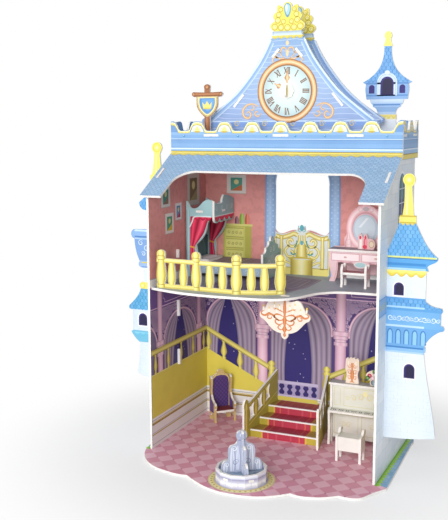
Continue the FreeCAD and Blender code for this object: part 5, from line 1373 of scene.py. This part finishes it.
def curtain_print(page, z, x0):
    """A tied red curtain on the bed's post board, with soft folds, a pale rim and small swags."""
    outer = smooth([(x0 + 4.6, z + 1), (x0 + 4.4, z + 30), (x0 + 4.8, z + 62), (x0 + 5.6, z + 66)], 30)
    fall = smooth([(x0 + 11.0, z + 1), (x0 + 11.6, z + 18), (x0 + 10.0, z + 32), (x0 + 15.2, z + 40),
                   (x0 + 21.4, z + 49), (x0 + 25.4, z + 60), (x0 + 28.6, z + 66)], 30)
    page.loft(outer, fall, [DARK_RED, RED, "ef4a6c", RED, DARK_RED, "e23a5e", "f0607c", RED, DARK_RED], 1)
    page.post(x0 + 0.4, x0 + 4.2, z + 1, z + 73, ["6f9aa2", "b4d2d6", "86b0b6"], 1)
    head = smooth([(x0 + 4, z + 54), (x0 + 7, z + 60), (x0 + 10, z + 65.6), (x0 + 20, z + 66.4),
                   (x0 + 30, z + 66.2)], 20)
    page.stroke(head, 1.4, "d4e6e6", 3)
    page.scallops(x0 + 9.6, x0 + 30.6, z + 66.2, 7.0, 1.6, 2.8, ["f06a86", RED, DARK_RED], 2)
    page.stroke(run((x0 + 4.2, z + 33), (x0 + 10.6, z + 31.6)), 1.6, "e8a83c", 3)


def depth_span(node):
    """Where a board starts and ends, behind the walls' front edges."""
    low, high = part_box(node)
    return low.y / MM - front, high.y / MM - front


def bed_curtain_prints():
    """Curtains on both faces of the bed's two post boards."""
    post_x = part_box("bed_curtain_front")[0].x / MM
    for node in ("bed_curtain_front", "bed_curtain_back"):
        for side in ("front", "back"):
            page = on(node, side)
            curtain_print(page, upper_floor, post_x)
            page.build()


def bed_valance_prints():
    """Red swags and small scrolls on the bed's valance."""
    start, end = depth_span("bed_valance")
    z = upper_floor + 66
    for side in ("left", "right"):
        page = on("bed_valance", side)
        page.scallops(start + 0.4, end - 0.4, z, (end - start - 0.8) / 4, 1.6, 4.0,
                      ["f06a86", RED, "e8365a", DARK_RED], 1)
        page.box(start + 0.4, end - 0.4, z, z + 1.2, "d4e6e6", 2)
        for u in np.linspace(start + 6, end - 6, 4):
            page.curl(u, z + 8.4, 3.0, 0, 1, "cfe2e2", 1, width=0.7)
        page.build()


def bed_end_prints(middle):
    """The footboard's panel and scrolls on both faces, and the headboard's round one."""
    z = upper_floor
    for side in ("left", "right"):
        page = on("bed_footboard", side)
        page.post(middle - 24, middle + 24, z + 3, z + 25,
                  ["7d9ba0", "a8c0c4", "b8cccf", "9ab4b8", "7d9ba0"], 1)
        page.pair(middle, 9, z + 15, 5.6, ["c9dadb", "eef5f5", "c9dadb"], 2)
        page.pair(middle, 5, z + 31, 3.6, ["c9dadb", "eef5f5", "c9dadb"], 2)
        page.patch(oval(middle, z + 41.6, 2.4, 2.6, count=16), "c9dadb", 1)
        page.build()
    page = on("bed_headboard", "right")
    for level, radius, code in ((1, 20, "3f6b74"), (2, 17.2, "5a8a92"), (3, 14.4, "4a7a84")):
        page.patch(oval(middle, z + 24, radius, radius, count=30), code, level)
    page.build()


def bed_base_prints():
    """The blanket's diamonds and its folded line, the bed's painted front, and the pillow."""
    z = upper_floor
    start, end = depth_span("bed_base")
    low, high = start + 0.4, end - 0.4
    page = on("bed_base", "top")
    page.box(-113, -28.2, low, high, "8d7a86", 0)
    for u in np.arange(-108, -30, 8.0):
        for v in np.arange(low + 4, high - 2, 8.0):
            page.patch([(u - 2.6, v), (u, v - 2.6), (u + 2.6, v), (u, v + 2.6)], "9c8a96", 1)
    page.box(-60, -58.6, low, high, "b9a8b4", 2)
    page.build()
    page = on("bed_base", "front")
    page.box(-112.6, -28.4, z + 3.8, z + 15.6, "a9c6da", 0)
    page.box(-112.6, -28.4, z + 13.6, z + 14.6, "7fa3c0", 1)
    for u in np.arange(-106, -32, 12.0):
        page.curl(u, z + 8.6, 2.8, 180, 1, "d6e6f0", 1, width=0.6)
    page.build()
    page = on("bed_pillow", "top")
    page.patch(oval(-100, 107, 7.4, 15, count=30), "f2eef2", 0)
    page.ring(-100, 107, 7.4, 6.8, ["c4b8c8", "d8cedc"], 1, 15 / 7.4)
    page.build()


ROSE = [DARK_PINK, "fbe6e6", DARK_PINK]


def dressing_table_print(c):
    """The dressing table's two drawers, its front legs' outlines and its oval badge."""
    z = upper_floor
    page = on("dressing_table_body", "front")
    for side in (-1, 1):
        left, right = sorted((c + side * 1.2, c + side * 31.4))
        page.box(left, right, z + 22.4, z + 30.4, "fbe9ea", 1)
        for low in (z + 22.4, z + 29.9):
            page.box(left, right, low, low + 0.5, DARK_PINK, 2)
        for u in (left, right - 0.5):
            page.box(u, u + 0.5, z + 22.4, z + 30.4, DARK_PINK, 2)
        page.patch(oval((left + right) / 2, z + 26.4, 1.8, 1.0, count=14), "d8b0a8", 3)
    page.vines(c, [(8, z + 20.6), (15, z + 20.8), (24.6, z + 21.0), (25.6, z + 12), (28.4, z + 1)], 0.9,
               "d8a0a8", 1, count=30)
    page.vines(c, [(33.4, z + 20), (32.0, z + 13), (30.8, z + 7), (33.0, z + 1)], 0.8, "e8bcc2", 1,
               count=20)
    page.patch(oval(c, z + 19.0, 6.6, 3.0, count=20), "a9cdd0", 2)
    page.ring(c, z + 19.0, 6.6, 5.6, ["f6f0f0", "dcd0d2"], 3, 3.0 / 6.6)
    page.build()


def dressing_mirror_print(c):
    """The mirror's pink frame, its glass with a pale gleam, and the scrolls and posts beside it."""
    page = on("dressing_mirror", "front")
    cy = 228.4
    page.ring(c, cy + 1.4, 21.0, 13.4, ["e2a6ae", "f6d0d4", "fbe6e6", "eab6bc", "c98f98"], 1, 17.6 / 15.2)
    glass = oval(c, cy, 13.8, 15.8, count=50)
    page.patch(glass, "b9cbd8", 3)
    page.patch((glass - [c, cy]) * [0.82, 0.84] + [c - 0.8, cy + 1.0], "cbdae4", 4)
    page.patch([(c - 8, cy + 2), (c - 5, cy + 2), (c + 3, cy + 11.6), (c + 0.6, cy + 12.4)], "e4eef4", 5)
    page.pair(c, 6.4, 249.4, 3.6, ROSE, 5)
    page.pair(c, 18, 213.6, 3.8, ROSE, 5, hand=-1)
    for side in (-1, 1):
        page.turned(c + side * 18.6, 209, 224, [(0, 3.4), (0.3, 3.8), (0.6, 2.0), (1, 0.6)],
                    ["c98f98", "f4ccd0", "fbe6e6", "d8a0a8"], 4)
    page.patch(oval(c, 250.0, 3.4, 2.4, count=16), "c4b4b8", 5)
    page.build()


def dressing_bottles_print(c):
    """Two turned bottles, a round jar and a small red pot."""
    page = on("dressing_bottles", "front")
    x, base = c - 5.5, upper_floor + 34.6
    for u, half, tall, code in ((2.5, 1.9, 14.6, "f2e4e0"), (8.0, 1.9, 14.8, "e86a7c")):
        page.turned(x + u, base + 0.3, base + tall,
                    [(0, half), (0.6, half), (0.75, half * 0.6), (1, half * 0.3)],
                    [between(code, "8a3040", 0.3), code, between(code, "ffffff", 0.5), code], 1)
        page.patch(oval(x + u, base + tall - 2.4, 1.1, 2.0, count=12), "d83a52", 2)
    page.patch(oval(x + 14.6, base + 5.4, 3.2, 4.0, count=18), "ead9c0", 1)
    page.ring(x + 14.6, base + 5.4, 3.0, 2.2, ["b89a7a", "d8bfa0"], 2, 1.25)
    page.patch(oval(x + 7.4, base + 2.6, 2.4, 2.2, count=14), "e04058", 3)
    page.build()


def dressing_stool_prints():
    """Paired scrolls on both faces of the stool's ends."""
    for node in ("dressing_stool_left_end", "dressing_stool_right_end"):
        for side in ("left", "right"):
            page = on(node, side)
            page.pair(sum(depth_span(node)) / 2, 3.8, upper_floor + 17.6, 2.6,
                      ["c98f98", "f6dcde", "c98f98"], 1)
            page.build()


def turned_print(name, node, angle, cx, cy, local_x, local_y, local_out):
    """A print on a board of a piece that was turned about the upright axis. The plane is given in the
    piece's own axes: a point on it, and the way it faces."""
    c, s = math.cos(angle), math.sin(angle)
    across_local = np.array([1.0, 0.0]) if abs(local_out[1]) > 0.5 else np.array([0.0, 1.0])
    spin = np.array([[c, -s], [s, c]])
    origin = spin @ np.array([local_x, local_y]) + [cx, cy]
    across = spin @ across_local
    out = spin @ np.array(local_out, float)
    return Print(name, node, (*origin, 0), (*across, 0), UP, (*out, 0))


chair_turn = math.radians(45)
chair_spot = (-88.1, 45.7)


def armchair_prints():
    """The armchair's quilted purple back and wings with gold edges."""
    page = turned_print("armchair_back_print", "armchair_back", chair_turn, *chair_spot, 0, 6.6, (0, -1))
    shape = [(-10.2, 12.5), (10.2, 12.5), (10.6, 44), (9.6, 50), (6.0, 53.4), (0, 54.4), (-6.0, 53.4),
             (-9.6, 50), (-10.6, 44)]
    page.patch(shape, "5d4482", 1)
    for offset in np.arange(-44, 72, 4.4):
        for lean in (1, -1):
            t = np.linspace(12.5, 51, 40)
            u = lean * (t - 12.5) * 0.9 + offset * lean
            keep = np.abs(u) < 10.0
            if keep.sum() > 2:
                page.stroke(np.stack([u[keep], t[keep]], 1), 0.45, "3d2a5e", 2)
    page.stroke(np.array(shape[1:] + [shape[0]], float), 1.2, ["c9a860", "f0dca0"], 3)
    page.pair(0, 2.6, 56.2, 2.0, ["b08c4a", "f0dca0"], 3)
    page.build()
    for side, node in ((-1, "armchair_left_side"), (1, "armchair_right_side")):
        for face in (-1, 1):
            near = side * 13.0 if side * face > 0 else side * 10.6
            label = "out" if side * face > 0 else "in"
            page = turned_print(f"{node}_print_{label}", node, chair_turn, *chair_spot, near, 0, (face, 0))
            panel = [(-5.6, 12.5), (7.4, 12.5), (8.0, 50), (4.8, 44), (5.2, 34), (1.0, 27.6), (-6.0, 23.6)]
            page.patch(panel, "684e8e", 1)
            page.stroke(np.array(panel + panel[:1], float), 0.9, ["c9a860", "f0dca0"], 2)
            page.build()


def frame_line(page, left, right, low, high, width, code, level=1):
    """A thin printed line round a panel."""
    page.stroke(run((left, low), (right, low), (right, high), (left, high), (left, low)), width, code,
                level)


def piano_panel_prints():
    """Cream and gold scrolls inside thin lines on the piano's two front panels."""
    page = on("piano_upper_panel", "front")
    frame_line(page, 50.4, 57, 44, 62.6, 0.5, "d8cf9a")
    frame_line(page, 61, 107, 44, 63.4, 0.5, "d8cf9a")
    for reach, v, size in ((5, 55, 4.0), (12.4, 53.4, 3.4), (19, 52.4, 2.6)):
        page.pair(84, reach, v, size, ["c9bb6e", "f2ecc0", "c9bb6e"], 2)
    page.patch(oval(84, 59, 2.6, 3.0, count=14), "efe6b0", 2)
    page.box(49, 109, 40.0, 41.0, "c4c2b4", 2)
    page.build()
    page = on("piano_lower_panel", "front")
    for left, right in ((50, 76), (80, 108)):
        frame_line(page, left, right, 12, 33, 0.6, "c9bf8c")
        page.pair((left + right) / 2, 3, 22.6, 3.4, "d8cf9a", 1, width=0.7)
    page.build()


def piano_keys_print():
    """White keys with thin lines between them, and black keys in twos and threes."""
    page = on("piano_shelf", "top")
    low = depth_span("piano_shelf")[0] + 0.8
    high = low + 5.6
    page.box(49.2, 108.8, low, high, "f2f1ea", 0)
    for u in np.arange(51.2, 108, 2.0):
        page.box(u - 0.12, u + 0.12, low, high, "9a9a96", 1)
    for index, u in enumerate(np.arange(51.2, 107, 2.0)):
        if index % 7 not in (2, 6):
            page.box(u - 0.55, u + 0.55, low + 2.2, high, "55545c", 2)
    page.build()


def piano_top_prints():
    """The copper candle holder and the vase of flowers that stand on the piano."""
    z = 68.4
    page = on("piano_ornament", "front")
    cx = 68.6
    shades = ["c8642e", "eaa468", "c8642e"]
    page.turned(cx, z + 1, z + 22, [(0, 2.8), (0.1, 1.0), (0.4, 1.8), (0.7, 0.9), (1, 1.4)], shades, 1)
    for v, size in ((6, 2.4), (12, 2.8), (18, 2.4)):
        page.pair(cx, 3.2, z + v, size, shades, 1)
    for u in (cx - 4, cx + 4):
        page.box(u - 0.6, u + 0.6, z + 19.4, z + 24, "fbf0dc", 2)
    page.build()
    page = on("piano_flowers", "front")
    cx = 93.0
    page.turned(cx, z + 0.3, z + 6.0, [(0, 3.0), (0.5, 4.4), (1, 2.8)], ["5a6f7c", "a8bcc6", "5a6f7c"], 1)
    for u, v, code in ((-5.6, 10.4, "d84a6a"), (0, 12.6, "f0e4ea"), (5.6, 10.2, "e87a94"),
                       (-2.6, 8.0, "f6d2dc"), (3.0, 8.2, "b83a5c"), (-0.4, 15.0, "5f9a4a"),
                       (-7.6, 8.0, "5f9a4a"), (7.8, 7.6, "5f9a4a")):
        page.ring(cx + u, z + v, 2.3, 0.2,
                  [between(code, "000000", 0.25), code, between(code, "ffffff", 0.4)], 2)
    page.build()


def fountain_basin_prints():
    """Panelled stone on the basin's twelve sides, outside and inside."""
    radius = 25.0
    flat = radius * math.cos(math.pi / 12)
    half = radius * math.sin(math.pi / 12)
    for index in range(12):
        angle = math.radians(30 * index + 15)
        out = np.array([math.cos(angle), math.sin(angle), 0])
        across = np.array([-math.sin(angle), math.cos(angle), 0])
        for facing, label, near in ((1, "out", flat), (-1, "in", flat - 2.4)):
            origin = out * near + [fountain_x, front + fountain_depth, floor_top]
            page = Print(f"fountain_basin_print_{index}_{label}", "fountain_basin", origin, across, UP,
                         out * facing)
            reach = half - (0.15 if facing > 0 else 0.8)
            page.bar(-reach, reach, 0.2, 12.6,
                     ["b4b4cc", "e9eaf4", "f6f7fb", "c9cade", "a9a9c4", "dfe0ee", "f4f5fa"])
            page.box(-reach, reach, 8.6, 9.2, "9a9abc", 1)
            page.box(-0.2, 0.2, 0.2, 8.6, "c0c1d4", 1)
            page.stroke(run((-reach * 0.8, 2.2), (reach * 0.8, 2.2)), 0.4, "c6c7da", 1)
            page.build()


def fountain_jet_prints():
    """Falling water, scrolls and a ball on both faces of the two crossed boards."""
    z = 11.0
    for node, angle, reach in (("fountain_jet_wide", 40, 20.5), ("fountain_jet_cross", -50, 19.0)):
        for facing, label in ((-1, "front"), (1, "back")):
            page = turned_print(f"{node}_print_{label}", node, math.radians(angle), fountain_x,
                                front + fountain_depth, 0, facing * 1.2, (0, facing))
            for side in (-1, 1):
                for near, far, low, high in ((reach - 6.6, reach - 1.4, 0.6, 10.2),
                                             (reach - 13.4, reach - 8.4, 1.0, 24.6),
                                             (2.2, reach - 14.6, 2.0, 26.4)):
                    middle = z + (low + high) / 2
                    left = smooth([(side * near, z + low), (side * (near - 0.8), middle),
                                   (side * (near + 1.2), z + high)], 16)
                    right = smooth([(side * far, z + low), (side * (far + 0.4), middle),
                                    (side * (far - 1.0), z + high * 0.96)], 16)
                    page.loft(left, right, ["8e95b4", "dfe4f0", "b9c0d6", "eef1f8", "9fa6c2"], 1)
            page.pair(0, reach - 5.4, z + 7.6, 2.6, "eef1f8", 2, width=0.7)
            page.pair(0, 7.6, z + 23.0, 3.0, "eef1f8", 2, width=0.8)
            page.pair(0, 6.2, z + 9.4, 3.4, "8e95b4", 2, width=0.7, hand=-1)
            page.ring(0, z + 36.0, 3.2, 0.3, ["8e95b4", "d6dbe8", "f6f8fc"], 1)
            page.stroke(run((-3.6, z + 31.2), (3.6, z + 31.2)), 1.2, "8e95b4", 2)
            page.build()


def water_card():
    """The fountain's pool: grey-blue water with lighter ripples."""
    def printed(wire):
        wave = wire.work("MULTIPLY_ADD", wire.noise(60.0), 26.0, wire.work("MULTIPLY", wire.y, 0.6))
        ripple = wire.work("GREATER_THAN", wire.work("SINE", wave), 0.72)
        return wire.mix(wire.work("MULTIPLY", ripple, 0.5), "7d8ea4", "c2d0de")
    return card("water_card", printed, [UP])


# Put the materials on the boards
dress(room_card("left_wall_card", (1, 0, 0), [ACROSS]), "left_wall")
dress(room_card("right_wall_card", (-1, 0, 0), [ACROSS]), "right_wall")
dress(room_card("back_wall_card", (0, -1, 0), [DEEP]), "back_wall")
dress(floor_card(), "first_floor")
dress(base_card(), "base_plate")
dress(parapet_card("front_roof_card", [DEEP, skirt_out], skirted=True), "front_roof")
dress(parapet_card("side_parapet_card", [ACROSS]), "left_parapet", "right_parapet")
dress(parapet_card("back_parapet_card", [DEEP]), "back_parapet")
panel_cos, panel_sin = math.cos(math.radians(49.1)), math.sin(math.radians(49.1))
balcony_sides = [(math.sin(a), -math.cos(a), 0) for a in np.radians((-3.4, 25.6))]
chair_sides = [(math.sqrt(0.5), side * math.sqrt(0.5), 0) for side in (1, -1)]
basin_sides = [(math.cos(a), math.sin(a), 0) for a in np.radians(np.arange(15, 180, 30))]
jet_sides = [(-math.sin(math.radians(a)), math.cos(math.radians(a)), 0) for a in (40, -50)]
for name, code, directions, boards in (
        ("deck_card", "a9bede", [UP], ("roof_deck",)),
        ("clock_boss_card", "f2f3ee", [DEEP], ("clock_boss",)),
        ("pennant_card", "9a6240", [DEEP], ("pennant",)),
        ("balcony_card", "efe184", balcony_sides, ("balcony_balustrade",)),
        ("chandelier_card", "f6e6d6", [DEEP], ("chandelier",)),
        ("stair_side_card", "b9ad46", [ACROSS], ("stair_side_left", "stair_side_right")),
        ("bed_teal_card", "a4ced2", [DEEP], ("bed_curtain_front", "bed_curtain_back")),
        ("bed_side_card", "9cc6ca", [ACROSS], ("bed_valance", "bed_footboard")),
        ("bed_headboard_card", "34606a", [ACROSS], ("bed_headboard",)),
        ("bed_canopy_card", "9fc6c8", [UP], ("bed_canopy",)),
        ("bed_base_card", "8d7a86", [UP, DEEP], ("bed_base",)),
        ("pillow_card", "e4dce4", [UP], ("bed_pillow",)),
        ("dressing_body_card", PINK, [DEEP, ACROSS], ("dressing_table_body",)),
        ("dressing_top_card", "8f8088", [UP], ("dressing_table_top",)),
        ("dressing_mirror_card", "f0c4c8", [DEEP], ("dressing_mirror", "dressing_bottles")),
        ("dressing_stool_card", "f2e2e4", [ACROSS], ("dressing_stool_left_end",
                                                     "dressing_stool_right_end")),
        ("dressing_seat_card", "a04a54", [UP], ("dressing_stool_seat",)),
        ("armchair_card", "d8bc7a", chair_sides, ("armchair_back", "armchair_left_side",
                                                  "armchair_right_side")),
        ("armchair_seat_card", "8e3a34", [UP], ("armchair_seat",)),
        ("piano_side_card", "e6e4da", [ACROSS], ("piano_left_side", "piano_right_side")),
        ("piano_front_card", "ecebdf", [DEEP], ("piano_upper_panel", "piano_lower_panel")),
        ("piano_top_card", "c4c3ba", [UP], ("piano_shelf", "piano_lid")),
        ("piano_ornament_card", "fae6d2", [DEEP], ("piano_ornament", "piano_flowers")),
        ("piano_stool_end_card", "efeee6", [ACROSS], ("piano_stool_left_end", "piano_stool_right_end")),
        ("piano_stool_seat_card", "f2f1e9", [DEEP, UP], ("piano_stool_seat",)),
        ("fountain_jet_card", "b9c0d6", jet_sides, ("fountain_jet_wide", "fountain_jet_cross"))):
    dress(plain_card(name, code, directions), *boards)
dress(gable_card("gable_card"), "clock_gable", "rear_gable")
dress(tile_card("gable_roof_card", "8fb0e0", "6a8cc4", "a9c6ee",
                [(panel_sin, 0, panel_cos), (-panel_sin, 0, panel_cos)]),
      "gable_roof_left", "gable_roof_right")
dress(plain_card("clock_peg_card", "d8c264", [ACROSS], 0.5), "clock_peg")
dress(tower_card("spire_card", [
    (320, "eef2f6"), (343, "f0e4a8"), (348, "b4cdea"), (350.4, "8fb2dc"), (355.6, "a4c4ea"),
    (359, "cfe0f2"), (363.2, "8fb4e0"), (380.4, "6a9ed6"), (416.4, "f2e67e"), (435, "f2e67e")],
    [(380.4, 416.4)], [], spire_middle, 34.0), "roof_spire")
dress(tower_card("right_tower_card", [
    (35, "dfe8ef"), (125, "8abce8"), (131.4, "6ea8dc"), (150, "74b0e2"), (165.6, "5c9fd8"),
    (177.4, "dfe8ef"), (200.8, "f6e97c"), (204, "5ba3dc"), (216.8, "62a9e0"), (248, "f2e372"),
    (300, "f2e372")],
    [(168.6, 177.2), (217.4, 247.8)], [(35, 124.6), (178, 200)], 141.0, 44.0), "right_tower")
dress(tower_card("left_tower_card", [
    (50, "dde6ee"), (98.8, "74bcd8"), (111.8, "dde6ee"), (135.6, "4fa3cc"), (159.6, "f2e372"),
    (167.4, "dde6ee"), (183.2, "9db9e2"), (190.4, "7fa2d4"), (216.4, "8fb4e0"), (226, "dde6ee"),
    (246.6, "62a2d8"), (279, "f2e372"), (325, "f2e372")],
    [(135.8, 159.2), (247, 278.6)], [(50, 98), (112, 135), (168, 183), (226, 246)], -142.0, 46.0),
    "left_tower")
dress(stair_card(), "stair_flight")
dress(plain_card("fountain_basin_card", "e4e5ef", basin_sides, 0.97), "fountain_basin")
dress(water_card(), "fountain_water")

# Print the boards
lower_back_print()
upper_back_print()
for wall, face in (("left_wall", "right"), ("right_wall", "left")):
    lower_side_print(wall, face)
    upper_side_print(wall, face)
outer_wall_print("right_wall", "right", [(70, 92, 236, 290), (54, 76, 78, 132)], (0, wall_depth))
outer_wall_print("left_wall", "left", [(70, 92, 236, 290), (84, 106, 78, 132)], (0, wall_depth))
outer_wall_print("back_wall", "back", [(-84, -58, 212, 272), (58, 84, 212, 272), (-84, -58, 70, 132),
                                       (-13, 13, 70, 132), (58, 84, 70, 132)], (-outer, outer))
floor_print()
base_print()
front_roof_print()
parapet_prints()
gable_prints()
right_tower_prints()
left_tower_prints()
spire_prints()
pennant_prints()
balcony_prints()
chandelier_print()
stair_prints()
stair_side_prints()
bed_curtain_prints()
bed_valance_prints()
bed_end_prints(sum(depth_span("bed_footboard")) / 2)
bed_base_prints()
dressing_table_print(72.0)
dressing_mirror_print(72.0)
dressing_bottles_print(72.0)
dressing_stool_prints()
armchair_prints()
piano_panel_prints()
piano_keys_print()
piano_top_prints()
fountain_basin_prints()
fountain_jet_prints()


# Floor, light and camera

def stage_floor():
    """A wide, plain pale floor under the base."""
    mesh = bpy.data.meshes.new("stage_floor")
    reach = 6.0
    mesh.from_pydata([(-reach, -reach, -0.0003), (reach, -reach, -0.0003), (reach, reach, -0.0003),
                      (-reach, reach, -0.0003)], [], [(0, 1, 2, 3)])
    floor = bpy.data.objects.new("stage_floor", mesh)
    bpy.context.scene.collection.objects.link(floor)
    material = bpy.data.materials.new("stage_floor")
    material.use_nodes = True
    tree = material.node_tree
    shader = tree.nodes["Principled BSDF"]
    shader.inputs["Base Color"].default_value = (0.9, 0.9, 0.91, 1)
    shader.inputs["Roughness"].default_value = 0.8
    # Beyond the castle's own shadow the camera sees the floor as the same white as the surround
    work = sums(tree)
    source = tree.nodes.new("ShaderNodeTexCoord")
    length = tree.nodes.new("ShaderNodeVectorMath")
    length.operation = "LENGTH"
    tree.links.new(source.outputs["Object"], length.inputs[0])
    share = tree.nodes.new("ShaderNodeMapRange")
    share.interpolation_type = "SMOOTHERSTEP"
    share.inputs["From Min"].default_value = 0.12
    share.inputs["From Max"].default_value = 0.36
    tree.links.new(length.outputs["Value"], share.inputs["Value"])
    path = tree.nodes.new("ShaderNodeLightPath")
    seen = work("MAXIMUM", path.outputs["Is Camera Ray"],
                work("MAXIMUM", path.outputs["Is Glossy Ray"], path.outputs["Is Transmission Ray"]))
    glow = tree.nodes.new("ShaderNodeEmission")
    mix = tree.nodes.new("ShaderNodeMixShader")
    tree.links.new(work("MULTIPLY", work("MULTIPLY_ADD", share.outputs["Result"], 0.55, 0.45), seen),
                   mix.inputs["Fac"])
    tree.links.new(shader.outputs["BSDF"], mix.inputs[1])
    tree.links.new(glow.outputs["Emission"], mix.inputs[2])
    tree.links.new(mix.outputs["Shader"], tree.nodes["Material Output"].inputs["Surface"])
    mesh.materials.append(material)


def lamp(name, place, aim, power, size):
    """A large soft lamp pointed at the castle."""
    light = bpy.data.lights.new(name, "AREA")
    light.energy = power
    light.size = size
    holder = bpy.data.objects.new(name, light)
    bpy.context.scene.collection.objects.link(holder)
    direction = np.array(aim, float) - np.array(place, float)
    yaw = math.atan2(-direction[0], direction[1])
    tilt = math.atan2(direction[2], math.hypot(direction[0], direction[1]))
    holder.location = place
    holder.rotation_euler = (math.pi / 2 + tilt, 0, yaw)


world_light = 0.40


def studio_world():
    """An even pale surround; the camera, gloss and glass see it as white."""
    world = bpy.data.worlds.new("studio")
    bpy.context.scene.world = world
    world.use_nodes = True
    tree = world.node_tree
    background = tree.nodes["Background"]
    background.inputs["Color"].default_value = (1, 1, 1, 1)
    path = tree.nodes.new("ShaderNodeLightPath")
    work = sums(tree)
    seen = work("MAXIMUM", path.outputs["Is Camera Ray"],
                work("MAXIMUM", path.outputs["Is Glossy Ray"], path.outputs["Is Transmission Ray"]))
    tree.links.new(work("MULTIPLY_ADD", seen, 1.0 - world_light, world_light),
                   background.inputs["Strength"])


stage_floor()
studio_world()
lamp("front_lamp", (0.35, -2.2, 0.85), (0, 0, 0.20), 38, 1.3)
lamp("left_lamp", (-1.3, -1.7, 1.0), (0, 0, 0.22), 10, 1.2)

camera_place = (0.31417, -0.84890, 0.33817)
camera_yaw = 0.42044
camera_pitch = 0.15153
camera_roll = -0.004
camera_data = bpy.data.cameras.new("camera")
camera_data.sensor_width = 36.0
camera_data.lens = 61.26
camera_data.clip_start = 0.01
camera = bpy.data.objects.new("camera", camera_data)
bpy.context.scene.collection.objects.link(camera)
turn = Euler((math.pi / 2 - camera_pitch, 0, camera_yaw)).to_matrix().to_4x4()
camera.matrix_world = Matrix.Translation(camera_place) @ turn @ Matrix.Rotation(camera_roll, 4, "Z")
bpy.context.scene.camera = camera
bpy.context.scene.view_settings.view_transform = "Standard"
